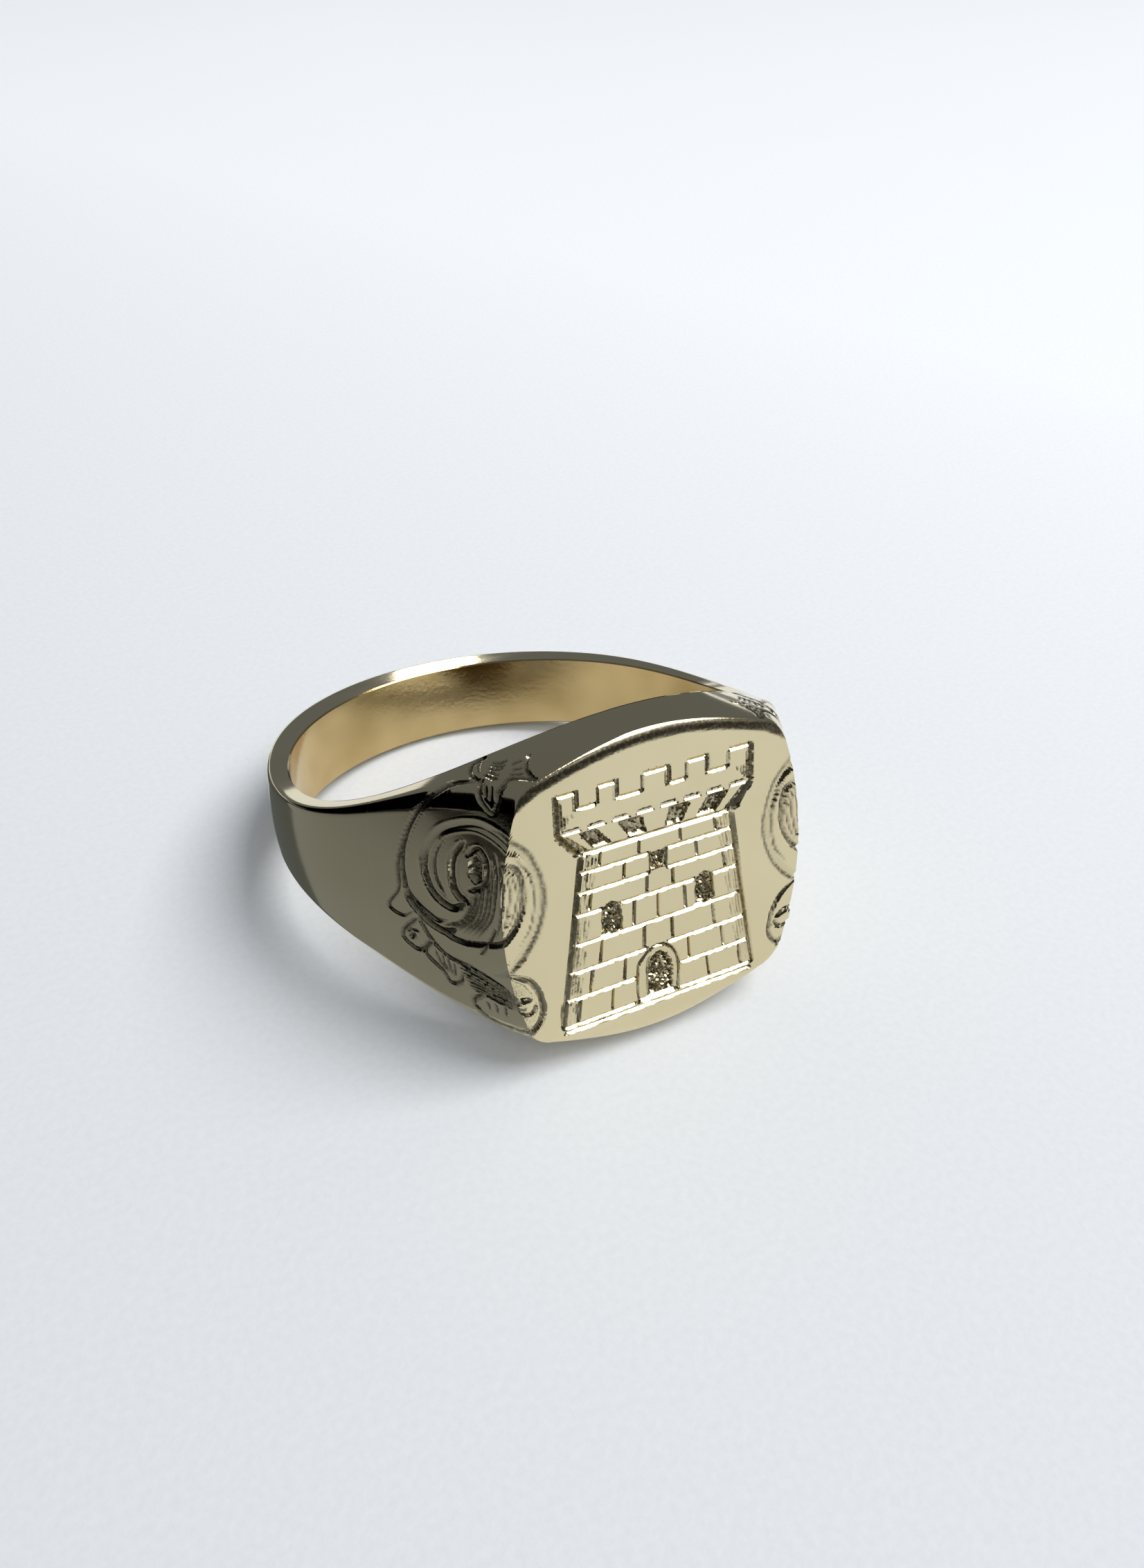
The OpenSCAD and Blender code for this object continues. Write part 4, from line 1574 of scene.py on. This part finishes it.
def direction(bearing: float, height: float) -> Vector:
    """Unit vector toward a bearing (0 in front of the face, 90 on its right) and a height, in degrees."""
    b, h = math.radians(bearing), math.radians(height)
    return Vector((math.sin(b) * math.cos(h), -math.cos(b) * math.cos(h), math.sin(h)))


def flat_sheet(name: str, width: float, depth: float) -> bpy.types.Mesh:
    """A flat rectangle about the origin, in metres."""
    x, y = width / 2, depth / 2
    mesh = bpy.data.meshes.new(name)
    mesh.from_pydata([(-x, -y, 0), (x, -y, 0), (x, y, 0), (-x, y, 0)], [], [(0, 1, 2, 3)])
    return mesh


def link_all(tree: bpy.types.NodeTree, *pairs: tuple[bpy.types.NodeSocket, bpy.types.NodeSocket]) -> None:
    """Links each source socket to its target."""
    for source, target in pairs:
        tree.links.new(source, target)


@dataclass(frozen=True)
class Card:
    """A flat studio card that glows and shows only in reflections, a painted reflection shaded from one end
    to the other.
    """

    name: str
    centre: tuple[float, float, float]
    size: tuple[float, float]
    faces: tuple[float, float, float]
    shade: Colour
    far_shade: Colour | None = None
    spin: float = 0.0

    def place(self, origin: Vector) -> None:
        """Sets the card up.

        Args:
            origin: The ring's middle on the floor.
        """
        mesh = flat_sheet(self.name, self.size[0] * MM, self.size[1] * MM)
        made = bpy.data.materials.new(self.name)
        made.use_nodes = True
        shader = made.node_tree.nodes["Principled BSDF"]
        shader.inputs["Base Color"].default_value = (0, 0, 0, 1)
        shader.inputs["Roughness"].default_value = 1.0
        shader.inputs["Specular IOR Level"].default_value = 0.0
        shader.inputs["Emission Color"].default_value = (*self.shade, 1)
        shader.inputs["Emission Strength"].default_value = 1.0
        if self.far_shade:
            tree = made.node_tree
            where, split, ramp = (
                tree.nodes.new(k)
                for k in ("ShaderNodeTexCoord", "ShaderNodeSeparateXYZ", "ShaderNodeValToRGB")
            )
            for stop, shade in zip(ramp.color_ramp.elements, (self.far_shade, self.shade)):
                stop.color = (*shade, 1)
            link_all(
                tree, (where.outputs["Generated"], split.inputs[0]),
                (split.outputs["X"], ramp.inputs["Fac"]),
                (ramp.outputs["Color"], shader.inputs["Emission Color"])
            )
        mesh.materials.append(made)
        card = put_in_scene(self.name, mesh)
        card.location = origin + Vector(self.centre) * MM
        card.rotation_mode = "QUATERNION"
        spin = Matrix.Rotation(math.radians(self.spin), 3, "Z").to_quaternion()
        card.rotation_quaternion = Vector(self.faces).to_track_quat("Z", "Y") @ spin
        card.visible_camera = card.visible_diffuse = card.visible_shadow = card.visible_transmission = False


@dataclass(frozen=True)
class PaperFloor:
    """A wide sheet of pale paper with a faint tooth, with painted light: its colour is painted brighter
    toward the back right and darker toward the front left.
    """

    width: float = 6000.0
    color: Colour = (0.79, 0.815, 0.84)
    tooth: float = 0.022
    # Painted light: the direction, span in millimetres and colour scale of the brightening across the paper.
    painted_light_way: tuple[float, float, float] = (0.856, 0.523, 0.0)
    painted_light_span: tuple[float, float] = (-60.0, 80.0)
    painted_light_tone: tuple[float, float] = (0.81, 1.12)

    def lay(self) -> None:
        """Lays the paper under the ring."""
        mesh = flat_sheet("paper_floor", self.width * MM, self.width * MM)
        made = bpy.data.materials.new("paper")
        made.use_nodes = True
        tree = made.node_tree
        shader = tree.nodes["Principled BSDF"]
        shader.inputs["Roughness"].default_value = 0.85
        shader.inputs["Specular IOR Level"].default_value = 0.15
        place, size = tree.nodes.new("ShaderNodeTexCoord"), tree.nodes.new("ShaderNodeMapping")
        size.inputs["Scale"].default_value = (1 / MM,) * 3
        grain, tint, bump = (
            tree.nodes.new(k) for k in ("ShaderNodeTexNoise", "ShaderNodeValToRGB", "ShaderNodeBump")
        )
        grain.inputs["Scale"].default_value, grain.inputs["Detail"].default_value = 3.5, 6.0
        tint.color_ramp.elements[0].color = (*(c * 0.975 for c in self.color), 1)
        tint.color_ramp.elements[1].color = (*(c * 1.02 for c in self.color), 1)
        tint.color_ramp.elements[0].position, tint.color_ramp.elements[1].position = 0.3, 0.7
        bump.inputs["Strength"].default_value, bump.inputs["Distance"].default_value = 0.6, self.tooth * MM
        # Painted light falloff: the paper's colour is scaled from darker to brighter along one direction
        # across the sheet.
        across, rise, toned = (
            tree.nodes.new(k) for k in ("ShaderNodeVectorMath", "ShaderNodeMapRange", "ShaderNodeVectorMath")
        )
        across.operation, toned.operation = "DOT_PRODUCT", "SCALE"
        across.inputs[1].default_value = self.painted_light_way
        for title, value in zip(
            ("From Min", "From Max", "To Min", "To Max"), (*self.painted_light_span, *self.painted_light_tone)
        ):
            rise.inputs[title].default_value = value
        link_all(
            tree, (place.outputs["Object"], size.inputs["Vector"]),
            (size.outputs["Vector"], grain.inputs["Vector"]), (size.outputs["Vector"], across.inputs[0]),
            (across.outputs["Value"], rise.inputs["Value"]), (grain.outputs["Fac"], tint.inputs["Fac"]),
            (tint.outputs["Color"], toned.inputs[0]), (rise.outputs["Result"], toned.inputs["Scale"]),
            (toned.outputs["Vector"], shader.inputs["Base Color"]),
            (grain.outputs["Fac"], bump.inputs["Height"]), (bump.outputs["Normal"], shader.inputs["Normal"])
        )
        mesh.materials.append(made)
        put_in_scene("paper_floor", mesh)


@dataclass(frozen=True)
class StudioCamera:
    """The camera: close above the ring, on its left front, tipped a little."""

    bearing: float = -28.67
    height: float = 37.13
    distance: float = 55.55
    look_bearing: float = -31.52
    look_height: float = 37.4
    roll: float = 4.86
    lens: float = 30.01

    def set_up(self, aim: Vector) -> None:
        """Places the camera.

        Args:
            aim: The middle of the finger hole.
        """
        data = bpy.data.cameras.new("studio_camera")
        data.lens, data.sensor_width = self.lens, 36.0
        data.clip_start, data.clip_end = 1 * MM, 20.0
        data.dof.use_dof = False
        camera = put_in_scene("studio_camera", data)
        camera.location = aim + direction(self.bearing, self.height) * self.distance * MM
        back = direction(self.look_bearing, self.look_height)
        level = Vector((0, 0, 1)).cross(back).normalized()
        camera.rotation_mode = "QUATERNION"
        turn = Matrix((level, back.cross(level), back)).transposed()
        turn = turn @ Matrix.Rotation(math.radians(self.roll), 3, "Z")
        camera.rotation_quaternion = turn.to_quaternion()
        bpy.context.scene.camera = camera


@dataclass(frozen=True)
class Studio:
    """The whole set: paper, soft lights, reflection cards and camera."""

    room: Colour = (0.27, 0.28, 0.3)
    mirrored_room: Colour = (0.125, 0.134, 0.143)
    lights: tuple[Softbox, ...] = (
        Softbox(
            "key_softbox", bearing=64.0, height=60.0, distance=1.3, size=(0.85, 0.8), power=14.5,
            color=(1.0, 0.995, 0.98)
        ),
        Softbox(
            "front_softbox", bearing=-15.0, height=48.0, distance=1.4, size=(1.0, 0.6), power=4.0,
            color=(0.96, 0.98, 1.0), mirrored=False
        )
    )
    # Painted reflections: the dim and black cards stand in for the shaded floor and dark room beside the
    # ring, the bright ones for a glint and a fill.
    cards: tuple[Card, ...] = (
        Card(
            "left_flank_card", centre=(-28.6, -0.5, 0.3), size=(30.0, 60.0), faces=(0, 0, 1),
            shade=(0.205, 0.22, 0.235), far_shade=(0.1, 0.105, 0.11), spin=206.0
        ),
        Card(
            "left_band_card", centre=(-24.9, 17.0, 0.25), size=(30.0, 44.0), faces=(0, 0, 1),
            shade=(0.09, 0.1, 0.105), far_shade=(0.03, 0.03, 0.03), spin=180.0
        ),
        Card(
            "far_left_card", centre=(-62.0, 10.0, 0.2), size=(84.0, 170.0), faces=(0, 0, 1),
            shade=(0.03, 0.03, 0.03), far_shade=(0.0, 0.0, 0.0), spin=180.0
        ),
        Card(
            "far_right_card", centre=(84.0, 75.0, 0.2), size=(80.0, 90.0), faces=(0, 0, 1),
            shade=(0.24, 0.25, 0.27)
        ),
        Card(
            "left_wall_card", centre=(-100.0, 40.0, 32.0), size=(280.0, 78.0), faces=(1, -0.3, 0),
            shade=(0.0, 0.0, 0.0)
        ),
        Card(
            "front_wall_card", centre=(10.0, -150.0, 34.0), size=(320.0, 80.0), faces=(0, 1, 0),
            shade=(0.02, 0.02, 0.02)
        ),
        Card(
            "back_glint_card", centre=(100.0, 280.0, 50.0), size=(20.0, 26.0), faces=(-0.34, -0.94, -0.15),
            shade=(9.0, 9.0, 8.8)
        ),
        Card(
            "front_fill_card", centre=(150.0, -260.0, 240.0), size=(240.0, 120.0), faces=(-0.5, 0.8, -0.6),
            shade=(0.75, 0.76, 0.78)
        )
    )

    def set_up(self, place: RestingPlace) -> None:
        """Builds the set round the ring.

        Args:
            place: Where the ring rests.
        """
        scene = bpy.context.scene
        scene.view_settings.view_transform = "Standard"
        self._light_room(scene)
        PaperFloor().lay()
        for light in self.lights:
            light.hang(place.centre)
        for card in self.cards:
            card.place(Vector((place.centre.x, place.centre.y, 0)))
        StudioCamera().set_up(place.centre)

    def _light_room(self, scene: bpy.types.Scene) -> None:
        """Gives the room one tone for soft light and a darker one for reflections."""
        scene.world = scene.world or bpy.data.worlds.new("room")
        scene.world.use_nodes = True
        tree = scene.world.node_tree
        room = tree.nodes["Background"]
        path, choice = (tree.nodes.new(k) for k in ("ShaderNodeLightPath", "ShaderNodeMix"))
        choice.data_type = "RGBA"
        choice.inputs[MIX_FIRST].default_value = (*self.room, 1)
        choice.inputs[MIX_SECOND].default_value = (*self.mirrored_room, 1)
        tree.links.new(path.outputs["Is Glossy Ray"], choice.inputs[MIX_SHARE])
        tree.links.new(choice.outputs[MIX_RESULT], room.inputs["Color"])


def main() -> None:
    """Builds the ring and its set, and notes the sizes."""
    logging.basicConfig(level=logging.INFO, format="%(name)s: %(message)s")
    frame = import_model()
    place = RestingPlace.of_hole(frame["record"])
    maker = SkinMaker(RingForm())
    gold, filed = GoldWardrobe().dress()
    polished, soldered = RingMesh(place, gold), RingMesh(place, filed)
    SignetHead(maker).build(polished)
    for side in Side:
        Shoulder(maker, side).build(polished)
    BackBand(maker).build(polished)
    for side in Side:
        for joins in ("head", "band"):
            SolderJoint(maker, side, joins).build(soldered)
    Studio().set_up(place)


if __name__ == "__main__":
    main()
